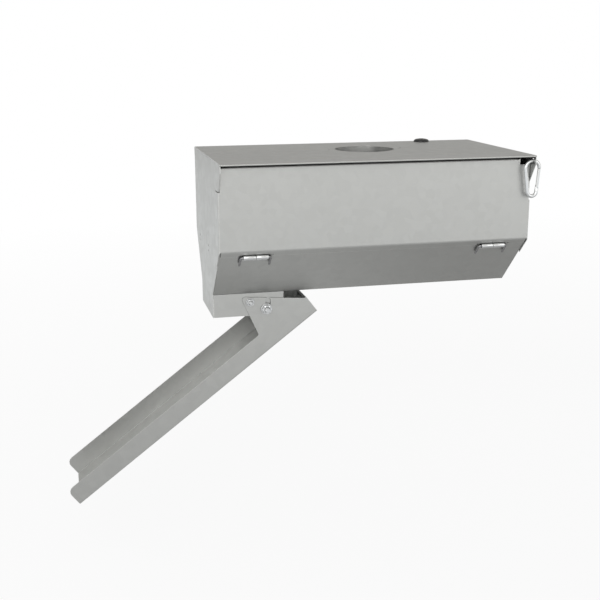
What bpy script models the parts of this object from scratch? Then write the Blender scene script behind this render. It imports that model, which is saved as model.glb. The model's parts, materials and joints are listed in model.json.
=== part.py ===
"""Motor-driven auger feeder head that hangs under a poultry feed hopper.

Feed drops through the round inlet in the roof into a trough, an auger pushes it to the left,
and it falls through the outlet box onto a tilting chute. A drop-down door gives access to the
battery and the timer, and a spring carabiner locks it.

Frame: the origin is the centre of the inlet hole, on the roof's upper face. +X runs along the
housing away from the outlet, -Y is the door side and +Z is up. Metres.
"""

from math import atan2, cos, pi, radians, sin, tan

import bmesh
import bpy
from mathutils import Vector

for old in list(bpy.data.objects):
    bpy.data.objects.remove(old, do_unlink=True)

MM = 0.001

# ---------------------------------------------------------------- driving sizes
SHEET = 1.2 * MM  # galvanised sheet, everywhere
BEND = 2.0 * MM  # outside radius of a fold
CLEAR = 0.3 * MM  # gap between pieces that touch

LENGTH = 480 * MM  # housing, end to end
DEPTH = 251.5 * MM  # door face to the back of the roof
BODY_HEIGHT = 211.7 * MM  # trough floor to the roof
SILL_DROP = 127.8 * MM  # roof down to where the front slope starts
BACK_WALL = 134.6 * MM  # height of the upright back wall
FLOOR_FROM_FRONT = 82.8 * MM  # door face to the front edge of the floor
FLOOR_WIDTH = 115.6 * MM
SILL_FLANGE = 16 * MM

ROOF_OVERHANG = 18 * MM
HEM_DEPTH = 10 * MM
HEM_GAP = 0.3 * MM
ROOF_BACK_FLANGE = 14 * MM
INLET_FROM_LEFT = 258 * MM
INLET_RADIUS = 47.5 * MM
INLET_BOLT_CIRCLE = 59 * MM
INLET_BOLT_HOLE = 3.25 * MM

EAR_FRONT_HEIGHT = 9.5 * MM  # upright front edge of an ear, below the hem
EAR_ROOT_DROP = 42 * MM  # roof down to where an ear meets the door line
EAR_HOLE_RADIUS = 3.8 * MM
EAR_HOLE_FORWARD = 8.5 * MM  # hole centre in front of the door face
EAR_HOLE_DROP = 8.3 * MM  # hole centre below the roof
END_FLANGE = 12 * MM

OUTLET_DROP = 36.5 * MM  # trough floor to the mouth of the outlet box
OUTLET_LENGTH = 112.3 * MM
OUTLET_LIP = 8 * MM  # floor left around the opening in it
BRACKET_HOLE_RADIUS = 1.9 * MM
BRACKET_HOLES_Y = (-26.6 * MM, 65.4 * MM)
BRACKET_HOLES_DROP = (139.2 * MM, 147.2 * MM)

DOOR_HEIGHT_GAP = 6.6 * MM  # roof down to the door's top edge
DOOR_FLANGE = 26 * MM
DOOR_RIGHT_FLANGE_DROP = 70 * MM  # roof down to the right flange, clear of the carabiner
DOOR_LIP = 11.5 * MM
DOOR_TOP_RETURN = 10 * MM
DOOR_NOTCH_LENGTH = 18 * MM  # right top corner, clear of the carabiner
DOOR_NOTCH_DROP = 15.2 * MM

HINGE_FROM_END = 54 * MM
HINGE_LENGTH = 37 * MM
HINGE_DOWN_SLOPE = 12.6 * MM  # hinge axis, from the top of the front slope
HINGE_PIN_RADIUS = 1.7 * MM
HINGE_PIN_LEG = 20 * MM
HINGE_PIN_OVERHANG = 4 * MM
HINGE_LEAF_END = 23 * MM
RIVET_RADIUS = 1.6 * MM
RIVET_HEAD_RADIUS = 3.2 * MM
RIVET_SPACING = 22 * MM

GROMMET_FROM_LEFT = 389 * MM
GROMMET_FROM_BACK = 16.5 * MM
GROMMET_RADIUS = 13 * MM
GROMMET_DOME = 4.6 * MM
GROMMET_HOLE = 9.5 * MM  # hole in the roof
GROMMET_BORE = 4.0 * MM

CHUTE_SLOPE = 37.1  # degrees below level, at rest
CHUTE_LENGTH = 481 * MM
CHUTE_WALL = 30 * MM
CHUTE_CORNER = 10 * MM
CHEEK_START = 385.3 * MM  # along the chute from its low end
CHEEK_APEX = 401 * MM
CHEEK_APEX_HEIGHT = 96.8 * MM
CHEEK_END = 477.5 * MM
CHEEK_ROUND = 4 * MM
PIVOT_ALONG_CHUTE = 407.5 * MM
PIVOT_ABOVE_CHUTE = 81.3 * MM
PIVOT_FROM_LEFT = 58.2 * MM
PIVOT_BELOW_FLOOR = 14.2 * MM
CHUTE_TILT = 28  # degrees, from the lowest setting up
LOCK_RADIUS = 28.4 * MM  # pivot to lock bolt
LOCK_ANGLE = -25.4  # degrees from +X, seen from the front
PIVOT_BOLT_RADIUS = 3.0 * MM
LOCK_BOLT_RADIUS = 4.0 * MM

AUGER_TROUGH_RADIUS = 38 * MM
AUGER_RADIUS = 34 * MM
AUGER_PITCH = 60 * MM
AUGER_SHAFT_RADIUS = 6 * MM
FLIGHT_THICKNESS = 2.5 * MM
TROUGH_START = 12 * MM  # from the left end of the housing
TROUGH_END = 326 * MM
TROUGH_FLANGE = 10 * MM
TROUGH_MOUTH_START = 18 * MM
TROUGH_MOUTH_END = 102 * MM
TROUGH_MOUTH_HALF = 28 * MM
FLIGHT_START = 20 * MM
FLIGHT_END = 296 * MM
SHAFT_START = 7 * MM
SHAFT_END = 311 * MM
BUSH_RADIUS = 9 * MM
BUSH_FLANGE_RADIUS = 13 * MM
BUSH_FLANGE = 2 * MM
COUPLING_RADIUS = 11 * MM
COUPLING_START = 299 * MM
COUPLING_LENGTH = 24 * MM
COUPLING_PIN_RADIUS = 1.5 * MM
FUNNEL_FLANGE_RADIUS = 66 * MM
FUNNEL_HALF_LENGTH = 48 * MM
FUNNEL_HALF_WIDTH = 36 * MM
FUNNEL_THROAT = 46.5 * MM
FUNNEL_DIP = 4 * MM  # how far it reaches below the deck, clear of the auger's crest

BULKHEAD_HALF_WIDTH = 52 * MM
BULKHEAD_FOOT = 16 * MM
GEARBOX_RADIUS = 21 * MM
GEARBOX_LENGTH = 30 * MM
GEARBOX_PILOT_RADIUS = 10 * MM
GEARBOX_SCREW_CIRCLE = 15.5 * MM
GEARBOX_SHAFT_DEPTH = 12 * MM
SCREW_RADIUS = 2 * MM
SCREW_HEAD_RADIUS = 3.5 * MM
SCREW_HEAD = 2.2 * MM
SCREW_DEPTH = 6 * MM  # into the gearbox
MOTOR_RADIUS = 18 * MM
MOTOR_LENGTH = 58 * MM

DECK_FLANGE = 14 * MM
BATTERY = (151 * MM, 65 * MM, 94 * MM)
BATTERY_FROM_RIGHT = 7 * MM
BATTERY_FROM_FRONT = 22 * MM
STRAP_WIDTH = 24 * MM
STRAP_FOOT = 14 * MM
TIMER = (110 * MM, 36 * MM, 85 * MM)
TIMER_FROM_LEFT = 60 * MM
TIMER_FROM_FRONT = 30 * MM
TIMER_LIFT = 8 * MM
TIMER_BRACKET_SHORT = 15 * MM  # the bracket stops this far below the case's top
TIMER_BRACKET_FOOT = 20 * MM
TIMER_BRACKET_INSET = 10 * MM
SCREEN = (54 * MM, 24 * MM)
SCREEN_DEPTH = 2.0 * MM
SCREEN_BELOW_TOP = 12 * MM
BUTTON_RADIUS = 4.5 * MM
BUTTON_PROUD = 2.0 * MM
BUTTON_LENGTH = 6.0 * MM
BUTTON_TRAVEL = 1.5 * MM
BUTTON_PITCH = 22 * MM
BUTTON_ABOVE_FOOT = 24 * MM

WIRE_RADIUS = 2.8 * MM  # carabiner
CARABINER_LENGTH = 59.3 * MM
CARABINER_TOP_RADIUS = 11.1 * MM
CARABINER_FOOT_RADIUS = 7.2 * MM
CARABINER_LEAN = 1.0 * MM  # the foot sits a little right of the top bow
CARABINER_INSET = 1.0 * MM  # top bow's centre, left of the right end plate's middle
GATE_RADIUS = 2.3 * MM
GATE_START = 3.6 * MM
GATE_PIVOT = 6.0 * MM
TONGUE_START = 2.2 * MM
TONGUE_LENGTH = 6.8 * MM
TONGUE_HALF = 1.0 * MM
GATE_PIN_RADIUS = 0.8 * MM

# ---------------------------------------------------------------- places
LEFT = -INLET_FROM_LEFT
RIGHT = LEFT + LENGTH
FLOOR_FRONT = -FLOOR_WIDTH / 2
FLOOR_BACK = FLOOR_WIDTH / 2
FRONT = FLOOR_FRONT - FLOOR_FROM_FRONT
BACK = FRONT + DEPTH
BACK_SHELL = BACK - SHEET - CLEAR
FLOOR_Z = -BODY_HEIGHT
OUTLET_Z = FLOOR_Z - OUTLET_DROP
SILL_Z = -SILL_DROP
BACK_FOLD_Z = -BACK_WALL
DOOR_INSIDE = FRONT + SHEET + CLEAR
INNER_LEFT = LEFT + SHEET + CLEAR
INNER_RIGHT = RIGHT - SHEET - CLEAR
UNDER_ROOF = -SHEET - CLEAR
HEM_HEIGHT = 2 * SHEET + HEM_GAP
ROOF_FRONT = FRONT - ROOF_OVERHANG

SLOPE = Vector((FLOOR_FRONT - FRONT, FLOOR_Z - SILL_Z)).normalized()
SLOPE_OUT = Vector((SLOPE.y, -SLOPE.x))
HINGE_BORE = HINGE_PIN_RADIUS + CLEAR
HINGE_RISE = CLEAR + SHEET + HINGE_BORE  # hinge axis above the slope

AXIS_Z = FLOOR_Z + SHEET + CLEAR + SHEET + AUGER_TROUGH_RADIUS
PIVOT = Vector((LEFT + PIVOT_FROM_LEFT, 0, FLOOR_Z - PIVOT_BELOW_FLOOR))


def on_slope(down, out):
    """(y, z) of a point on the front slope, down it and out from its outer face."""
    return Vector((FRONT, SILL_Z)) + SLOPE * down + SLOPE_OUT * out


def slope_height(y):
    """Height of the front slope's outer face at depth y."""
    return SILL_Z + (y - FRONT) * SLOPE.y / SLOPE.x


HINGE_AXIS = on_slope(HINGE_DOWN_SLOPE, HINGE_RISE)
SILL_TOP = slope_height(DOOR_INSIDE)
DECK_UNDER = SILL_TOP + CLEAR
DECK_TOP = DECK_UNDER + SHEET
HOOK_Y = FRONT - EAR_HOLE_FORWARD
HOOK_Z = -EAR_HOLE_DROP - (EAR_HOLE_RADIUS - WIRE_RADIUS - CLEAR)  # wire rests in the hole


# ---------------------------------------------------------------- materials
def material(name, color, roughness, metallic):
    made = bpy.data.materials.new(name)
    made.use_nodes = True
    shader = made.node_tree.nodes["Principled BSDF"]
    shader.inputs["Base Color"].default_value = (*color, 1)
    shader.inputs["Roughness"].default_value = roughness
    shader.inputs["Metallic"].default_value = metallic
    made.diffuse_color = (*color, 1)
    return made


GALVANISED = material("galvanised_sheet", (0.50, 0.51, 0.50), 0.42, 1.0)
ZINC = material("zinc_plate", (0.62, 0.63, 0.63), 0.22, 1.0)
AUGER_STEEL = material("auger_steel", (0.42, 0.42, 0.43), 0.38, 1.0)
BLACK_RUBBER = material("black_rubber", (0.02, 0.02, 0.02), 0.5, 0.0)
BLACK_PLASTIC = material("black_plastic", (0.03, 0.03, 0.035), 0.45, 0.0)
GREY_PLASTIC = material("grey_plastic", (0.55, 0.56, 0.56), 0.5, 0.0)
BUTTON_PLASTIC = material("button_plastic", (0.10, 0.16, 0.30), 0.45, 0.0)
SCREEN_GREEN = material("screen", (0.36, 0.42, 0.30), 0.15, 0.0)
NYLON = material("nylon", (0.85, 0.84, 0.78), 0.5, 0.0)
BRASS = material("brass", (0.70, 0.52, 0.22), 0.3, 1.0)


# ---------------------------------------------------------------- mesh helpers
def mesh_object(name, vertices, faces, finish):
    """One closed mesh with its faces turned outwards, shaded by angle."""
    mesh = bpy.data.meshes.new(name)
    mesh.from_pydata([tuple(v) for v in vertices], [], faces)
    shell = bmesh.new()
    shell.from_mesh(mesh)
    bmesh.ops.recalc_face_normals(shell, faces=shell.faces)
    shell.to_mesh(mesh)
    shell.free()
    mesh.shade_smooth()
    mesh.set_sharp_from_angle(angle=radians(32))
    made = bpy.data.objects.new(name, mesh)
    made.data.materials.append(finish)
    bpy.context.scene.collection.objects.link(made)
    return made


def prism(name, outline, axis, low, high, finish=GALVANISED):
    """A flat outline carried straight along X, Y or Z."""
    place = {
        "X": lambda a, b, t: (t, a, b),
        "Y": lambda a, b, t: (a, t, b),
        "Z": lambda a, b, t: (a, b, t),
    }[axis]
    count = len(outline)
    vertices = [place(a, b, t) for t in (low, high) for a, b in outline]
    faces = [tuple(range(count)), tuple(range(count, 2 * count))]
    for i in range(count):
        j = (i + 1) % count
        faces.append((i, j, count + j, count + i))
    return mesh_object(name, vertices, faces, finish)


def box(name, low, high, finish=GALVANISED):
    outline = [(low[0], low[1]), (high[0], low[1]), (high[0], high[1]), (low[0], high[1])]
    return prism(name, outline, "Z", low[2], high[2], finish)


def turned(name, profile, start, direction, finish, sides=24):
    """A profile of (radius, distance) turned about a line; a radius of 0 closes it there."""
    direction = Vector(direction).normalized()
    across = direction.orthogonal().normalized()
    other = direction.cross(across)
    vertices, rings = [], []
    for radius, along in profile:
        centre = Vector(start) + direction * along
        if radius == 0:
            rings.append([len(vertices)])
            vertices.append(centre)
            continue
        rings.append(list(range(len(vertices), len(vertices) + sides)))
        for k in range(sides):
            angle = 2 * pi * k / sides
            vertices.append(centre + (across * cos(angle) + other * sin(angle)) * radius)
    faces = []
    closed = profile[0][0] > 0
    pairs = zip(rings, rings[1:] + rings[:1] if closed else rings[1:])
    for low, high in pairs:
        for k in range(sides):
            n = (k + 1) % sides
            if len(low) == 1:
                faces.append((low[0], high[k], high[n]))
            elif len(high) == 1:
                faces.append((low[k], low[n], high[0]))
            else:
                faces.append((low[k], low[n], high[n], high[k]))
    return mesh_object(name, vertices, faces, finish)


def swept(name, path, across, radius, finish, sides=12):
    """A round wire along a path that lies in one plane; across is that plane's normal."""
    across = Vector(across).normalized()
    path = [Vector(p) for p in path]
    vertices, faces = [], []
    for i, point in enumerate(path):
        before = path[max(i - 1, 0)]
        after = path[min(i + 1, len(path) - 1)]
        side = across.cross((after - before).normalized())
        for k in range(sides):
            angle = 2 * pi * k / sides
            vertices.append(point + (side * cos(angle) + across * sin(angle)) * radius)
    for i in range(len(path) - 1):
        for k in range(sides):
            n = (k + 1) % sides
            a, b = i * sides, (i + 1) * sides
            faces.append((a + k, a + n, b + n, b + k))
    faces.append(tuple(range(sides)))
    faces.append(tuple(range(len(vertices) - sides, len(vertices))))
    return mesh_object(name, vertices, faces, finish)


def folded_skin(name, faces, outward, finish=GALVANISED):
    """Sheet metal from its outer skin: flat faces that share edges, bent and thickened inwards."""
    skin = bmesh.new()
    for face in faces:
        skin.faces.new([skin.verts.new(point) for point in face])
    bmesh.ops.remove_doubles(skin, verts=skin.verts, dist=1e-6)
    bmesh.ops.recalc_face_normals(skin, faces=skin.faces)
    largest = max(skin.faces, key=lambda face: face.calc_area())
    if largest.normal.dot(Vector(outward)) < 0:
        bmesh.ops.reverse_faces(skin, faces=skin.faces)
    mesh = bpy.data.meshes.new(name)
    skin.to_mesh(mesh)
    skin.free()
    made = bpy.data.objects.new(name, mesh)
    made.data.materials.append(finish)
    bpy.context.scene.collection.objects.link(made)
    bend = made.modifiers.new("bends", "BEVEL")
    bend.width = BEND
    bend.segments = 3
    bend.limit_method = "ANGLE"
    bend.angle_limit = radians(28)
    wall = made.modifiers.new("sheet", "SOLIDIFY")
    wall.thickness = SHEET
    wall.offset = -1
    wall.use_even_offset = True
    return made


def apply_tool(target, tool, operation):
    tool.hide_render = True
    tool.display_type = "WIRE"
    step = target.modifiers.new(tool.name, "BOOLEAN")
    step.operation = operation
    step.object = tool


def cut(target, *tools):
    for tool in tools:
        apply_tool(target, tool, "DIFFERENCE")


def add(target, *tools):
    for tool in tools:
        apply_tool(target, tool, "UNION")


def drill(target, x, y, z, axis, radius, reach=4 * MM, sides=20):
    """A round hole through target about the point (x, y, z)."""
    direction = {"X": (1, 0, 0), "Y": (0, 1, 0), "Z": (0, 0, 1)}[axis]
    start = Vector((x, y, z)) - Vector(direction) * reach
    profile = [(0, 0), (radius, 0), (radius, 2 * reach), (0, 2 * reach)]
    cut(target, turned(f"{target.name}_drill", profile, start, direction, GALVANISED, sides))


def pivot_empty(name, location):
    """An empty on a joint's axis, which carries the pieces that turn or slide there."""
    empty = bpy.data.objects.new(name, None)
    empty.location = location
    bpy.context.scene.collection.objects.link(empty)
    return empty


def carry(empty, *pieces):
    """Parents pieces that are modelled in place to an unturned empty."""
    for piece in pieces:
        piece.parent = empty
        piece.location = -empty.location


# ---------------------------------------------------------------- outlines
def arc(centre, radius, start, end, steps):
    """Points on a circle from angle start to angle end, in degrees."""
    angles = (radians(start + (end - start) * k / steps) for k in range(steps + 1))
    return [(centre[0] + radius * cos(a), centre[1] + radius * sin(a)) for a in angles]


def filleted(points, radii, closed=False, steps=4):
    """The path through points with each corner rounded to its radius."""
    count = len(points)
    if not isinstance(radii, (list, tuple)):
        radii = [radii] * count
    path = []
    for i, corner in enumerate(points):
        here = Vector(corner)
        if (not closed and i in (0, count - 1)) or radii[i] == 0:
            path.append(here)
            continue
        into = (here - Vector(points[i - 1])).normalized()
        out = (Vector(points[(i + 1) % count]) - here).normalized()
        turn = atan2(into.x * out.y - into.y * out.x, into.dot(out))
        run = radii[i] * tan(abs(turn) / 2)
        side = 1 if turn > 0 else -1
        centre = here - into * run + Vector((-into.y, into.x)) * radii[i] * side
        first = here - into * run - centre
        number = max(1, round(steps * abs(turn) / (pi / 2)))
        for k in range(number + 1):
            angle = turn * k / number
            turned_by = Vector(
                (
                    first.x * cos(angle) - first.y * sin(angle),
                    first.x * sin(angle) + first.y * cos(angle),
                )
            )
            path.append(centre + turned_by)
    kept = [path[0]]
    for point in path[1:]:
        if (point - kept[-1]).length > 1e-6:
            kept.append(point)
    return kept


def sheet_outline(path, thickness=SHEET):
    """Closed outline of sheet metal whose one face follows path; the metal is on its left."""
    back = []
    for i, here in enumerate(path):
        before = (here - path[i - 1]).normalized() if i else (path[1] - here).normalized()
        after = (path[i + 1] - here).normalized() if i < len(path) - 1 else before
        normal = Vector((-before.y, before.x)) + Vector((-after.y, after.x))
        normal.normalize()
        stretch = normal.dot(Vector((-before.y, before.x)))
        back.append(here + normal * (thickness / stretch))
    return [tuple(p) for p in path] + [tuple(p) for p in reversed(back)]


def folded(points, radii=BEND, thickness=SHEET, steps=4):
    return sheet_outline(filleted(points, radii, steps=steps), thickness)


def hexagon(across_flats):
    return arc((0, 0), across_flats / (2 * cos(pi / 6)), 0, 300, 5)


# ---------------------------------------------------------------- housing
def roof_panel():
    low = -HEM_HEIGHT
    corners = [(BACK, -ROOF_BACK_FLANGE), (BACK, 0), (ROOF_FRONT, 0)]
    corners += [(ROOF_FRONT, low), (ROOF_FRONT + HEM_DEPTH, low)]
    path = filleted(corners, [0, BEND, HEM_HEIGHT / 2, HEM_HEIGHT / 2, 0])
    roof = prism("roof_panel", sheet_outline(path), "X", LEFT, RIGHT)
    drill(roof, 0, 0, 0, "Z", INLET_RADIUS, sides=48)
    for side in (-1, 1):
        drill(roof, side * INLET_BOLT_CIRCLE, 0, 0, "Z", INLET_BOLT_HOLE, sides=12)
    drill(roof, LEFT + GROMMET_FROM_LEFT, BACK - GROMMET_FROM_BACK, 0, "Z", GROMMET_HOLE)
    return roof


def housing_shell():
    path = [
        (FRONT + SILL_FLANGE, SILL_TOP),
        (DOOR_INSIDE, SILL_TOP),
        (FLOOR_FRONT, FLOOR_Z),
        (FLOOR_BACK, FLOOR_Z),
        (BACK_SHELL, BACK_FOLD_Z),
        (BACK_SHELL, UNDER_ROOF),
    ]
    shell = prism("housing_shell", folded(path, [0, BEND, BEND, BEND, BEND, 0]), "X", INNER_LEFT, INNER_RIGHT)
    low = (LEFT + OUTLET_LIP, FLOOR_FRONT + OUTLET_LIP, FLOOR_Z - SHEET)
    high = (LEFT + OUTLET_LENGTH - OUTLET_LIP, FLOOR_BACK - OUTLET_LIP, FLOOR_Z + 2 * SHEET)
    cut(shell, box("outlet_cut", low, high))
    for x, _ in hinge_places():
        for side in (-1, 1):
            rivet_hole(shell, x + side * RIVET_SPACING / 2)
    return shell


def end_plate(name, x, inward, with_outlet):
    """An end of the housing; its ears carry the front of the roof."""
    hem_back = ROOF_FRONT + HEM_DEPTH + CLEAR
    hem_under = -HEM_HEIGHT - CLEAR
    front = ROOF_FRONT + CLEAR
    outline = [
        (BACK_SHELL, UNDER_ROOF),
        (hem_back, UNDER_ROOF),
        (hem_back, hem_under),
        (front, hem_under),
        (front, hem_under - EAR_FRONT_HEIGHT),
        (DOOR_INSIDE, -EAR_ROOT_DROP),
        (DOOR_INSIDE, SILL_TOP),
        (FLOOR_FRONT, FLOOR_Z),
    ]
    if with_outlet:
        outline += [(FLOOR_FRONT, OUTLET_Z), (FLOOR_BACK, OUTLET_Z)]
    outline += [(FLOOR_BACK, FLOOR_Z), (BACK_SHELL, BACK_FOLD_Z)]
    plate = prism(name, outline, "X", min(x, x + inward * SHEET), max(x, x + inward * SHEET))
    edges = sorted((x + inward * SHEET / 2, x + inward * END_FLANGE))
    low = (edges[0], DOOR_INSIDE + END_FLANGE, UNDER_ROOF - SHEET)
    high = (edges[1], BACK_SHELL - END_FLANGE, UNDER_ROOF)
    add(plate, box(f"{name}_flange", low, high))
    return plate


def left_end_plate():
    plate = end_plate("left_end_plate", LEFT, 1, True)
    for y in BRACKET_HOLES_Y:
        for drop in BRACKET_HOLES_DROP:
            drill(plate, LEFT, y, -drop, "X", BRACKET_HOLE_RADIUS, sides=12)
    return plate


def right_end_plate():
    plate = end_plate("right_end_plate", RIGHT, -1, False)
    drill(plate, RIGHT, HOOK_Y, -EAR_HOLE_DROP, "X", EAR_HOLE_RADIUS, sides=24)
    return plate


def outlet_box():
    right = LEFT + OUTLET_LENGTH
    path = [(INNER_LEFT, FLOOR_FRONT), (right, FLOOR_FRONT), (right, FLOOR_BACK), (INNER_LEFT, FLOOR_BACK)]
    walls = prism("outlet_box", folded(path), "Z", OUTLET_Z, FLOOR_Z - CLEAR)
    for side in (-1, 1):
        y = side * FLOOR_WIDTH / 2
        drill(walls, PIVOT.x, y, PIVOT.z, "Y", PIVOT_BOLT_RADIUS + CLEAR)
        lock = lock_place()
        drill(walls, lock.x, y, lock.z, "Y", LOCK_BOLT_RADIUS + CLEAR)
    return walls


def cable_grommet():
    """A rubber ring snapped into the roof, with a domed top and a bore for a cable."""
    waist = GROMMET_HOLE - CLEAR
    top, under = CLEAR, -SHEET - CLEAR
    edge = 1 * MM  # upright rim below the dome, and the bore's chamfer
    width, rise = GROMMET_RADIUS - GROMMET_BORE - edge, GROMMET_DOME - edge
    dome = [
        (GROMMET_RADIUS - width * (1 - cos(a)), top + edge + rise * sin(a))
        for a in (radians(t) for t in (0, 25, 50, 70, 90))
    ]
    profile = [(GROMMET_RADIUS, top)] + dome
    profile += [(GROMMET_BORE, top + rise), (GROMMET_BORE, under - 3 * MM)]
    profile += [(GROMMET_RADIUS - 2.5 * MM, under - 2 * MM), (GROMMET_RADIUS - 1.5 * MM, under)]
    profile += [(waist, under), (waist, top)]
    place = (LEFT + GROMMET_FROM_LEFT, BACK - GROMMET_FROM_BACK, 0)
    return turned("cable_grommet", profile, place, (0, 0, 1), BLACK_RUBBER)


# ---------------------------------------------------------------- door and hinges
def hinge_places():
    return [(LEFT + HINGE_FROM_END, "left"), (RIGHT - HINGE_FROM_END, "right")]


def slope_point(x, down, out):
    y, z = on_slope(down, out)
    return (x, y, z)


def rolled_tab(low, high, root, way):
    """Faces of a strip on the slope that rolls about the hinge pin, between two x positions.

    It starts root down the slope; way is 1 where it comes down the slope and -1 up it.
    """
    roll = [(root, CLEAR + SHEET)]
    for across, up in arc((0, 0), HINGE_BORE, -90, 200, 14):
        roll.append((HINGE_DOWN_SLOPE + way * across, HINGE_RISE + up))
    faces = []
    for start, finish in zip(roll, roll[1:]):
        ends = [(low, start), (high, start), (high, finish), (low, finish)]
        faces.append([slope_point(x, *place) for x, place in ends])
    return faces


def rivet_hole(target, x):
    down = (HINGE_DOWN_SLOPE + HINGE_BORE + SHEET + HINGE_LEAF_END) / 2
    y, z = on_slope(down, -3 * MM)
    direction = (0, SLOPE_OUT.x, SLOPE_OUT.y)
    radius = RIVET_RADIUS + CLEAR
    profile = [(0, 0), (radius, 0), (radius, 8 * MM), (0, 8 * MM)]
    cut(target, turned("rivet_drill", profile, (x, y, z), direction, GALVANISED, 12))


def rivet(name, x):
    """A pop rivet: low head outside the leaf, shank through leaf and slope, tail inside."""
    down = (HINGE_DOWN_SLOPE + HINGE_BORE + SHEET + HINGE_LEAF_END) / 2
    inner = -SHEET - CLEAR
    y, z = on_slope(down, 0)
    seat = CLEAR + SHEET + CLEAR
    profile = [
        (0, inner - 1.2 * MM),
        (RIVET_RADIUS * 1.5, inner - 1.2 * MM),
        (RIVET_RADIUS * 1.5, inner),
        (RIVET_RADIUS, inner),
        (RIVET_RADIUS, seat),
        (RIVET_HEAD_RADIUS, seat),
        (RIVET_HEAD_RADIUS * 0.7, seat + 0.9 * MM),
        (0, seat + 1.1 * MM),
    ]
    return turned(name, profile, (x, y, z), (0, SLOPE_OUT.x, SLOPE_OUT.y), ZINC, 12)


def hinge(x, side):
    """Fixed leaf, pin and rivets of one hinge; the door's own rolled tab is the other half."""
    half = HINGE_LENGTH / 2
    leaf_top = HINGE_DOWN_SLOPE + HINGE_BORE + SHEET + CLEAR
    out = CLEAR + SHEET
    corners = [(x - half, HINGE_LEAF_END), (x + half, HINGE_LEAF_END), (x + half, leaf_top)]
    corners += [(x - CLEAR / 2, leaf_top), (x - half, leaf_top)]
    faces = [[slope_point(across, down, out) for across, down in corners]]
    faces += rolled_tab(x - half, x - CLEAR / 2, leaf_top, -1)
    leaf = folded_skin(f"{side}_hinge_leaf", faces, (0, SLOPE_OUT.x, SLOPE_OUT.y), ZINC)
    reach = half + HINGE_PIN_OVERHANG
    corner = filleted(
        [(-reach, HINGE_PIN_LEG), (-reach, 0), (reach, 0), (reach, HINGE_PIN_LEG)],
        2.2 * HINGE_PIN_RADIUS,
    )
    path = []
    for along, down in corner:
        y, z = on_slope(HINGE_DOWN_SLOPE + down, HINGE_RISE)
        path.append((x + along, y, z))
    normal = (0, SLOPE_OUT.x, SLOPE_OUT.y)
    pin = swept(f"{side}_hinge_pin", path, normal, HINGE_PIN_RADIUS, ZINC, 12)
    for number, way in enumerate((-1, 1), 1):
        place = x + way * RIVET_SPACING / 2
        rivet_hole(leaf, place)
        rivet(f"{side}_hinge_rivet_{number}", place)
    return leaf, pin


def door_panel():
    """A tray that closes over the housing's ends, lipped along the front slope.

    Its rolled tabs are the moving halves of the hinges. It steps in behind the ears, and its
    right top corner is notched for the carabiner.
    """
    low, high = LEFT - CLEAR - SHEET, RIGHT + CLEAR + SHEET
    back = FRONT + DOOR_FLANGE
    top = -DOOR_HEIGHT_GAP
    out = CLEAR + SHEET
    fold_down = -out * SLOPE_OUT.x / SLOPE.x
    fold_z = on_slope(fold_down, out).y
    relief = BEND + SHEET + CLEAR
    ear_gap = SHEET + 2 * CLEAR
    inset = 2 * BEND
    left_top, right_top = -EAR_ROOT_DROP, -DOOR_RIGHT_FLANGE_DROP
    edge = [LEFT + ear_gap + inset, RIGHT - DOOR_NOTCH_LENGTH - inset]

    outline = [
        (low, fold_z),
        (low, left_top),
        (LEFT + ear_gap, left_top),
        (LEFT + ear_gap, top),
        (edge[0], top),
        (edge[1], top),
        (RIGHT - DOOR_NOTCH_LENGTH, top),
        (RIGHT - DOOR_NOTCH_LENGTH, -DOOR_NOTCH_DROP),
        (RIGHT - ear_gap, -DOOR_NOTCH_DROP),
        (RIGHT - ear_gap, right_top),
        (high, right_top),
        (high, fold_z),
        (high - relief, fold_z),
        (low + relief, fold_z),
    ]
    faces = [[(x, FRONT, z) for x, z in outline]]

    rise = (back - FRONT) * SLOPE.y / SLOPE.x
    for x, tall in ((low, left_top), (high, right_top)):
        faces.append([(x, FRONT, fold_z), (x, FRONT, tall), (x, back, tall), (x, back, fold_z + rise)])

    deep = FRONT + DOOR_TOP_RETURN
    faces.append([(edge[0], FRONT, top), (edge[1], FRONT, top), (edge[1], deep, top), (edge[0], deep, top)])

    lip_end = fold_down + DOOR_LIP
    lip_back = HINGE_DOWN_SLOPE - HINGE_BORE - SHEET - 2 * CLEAR
    pad = HINGE_LENGTH / 2 + HINGE_PIN_OVERHANG + 2 * HINGE_PIN_RADIUS + CLEAR
    lip = [(low + relief, fold_down), (low + relief, lip_end)]
    for x, _ in hinge_places():
        tab = (x + CLEAR / 2, x + HINGE_LENGTH / 2)
        lip += [(x - pad, lip_end), (x - pad, lip_back), (tab[0], lip_back)]
        lip += [(tab[1], lip_back), (x + pad, lip_back), (x + pad, lip_end)]
        faces += rolled_tab(tab[0], tab[1], lip_back, 1)
    lip += [(high - relief, lip_end), (high - relief, fold_down)]
    faces.append([slope_point(x, down, out) for x, down in lip])
    door = folded_skin("door_panel", faces, (0, -1, 0))
    carry(pivot_empty("door_hinge_line", (0, HINGE_AXIS.x, HINGE_AXIS.y)), door)
    return door


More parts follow.
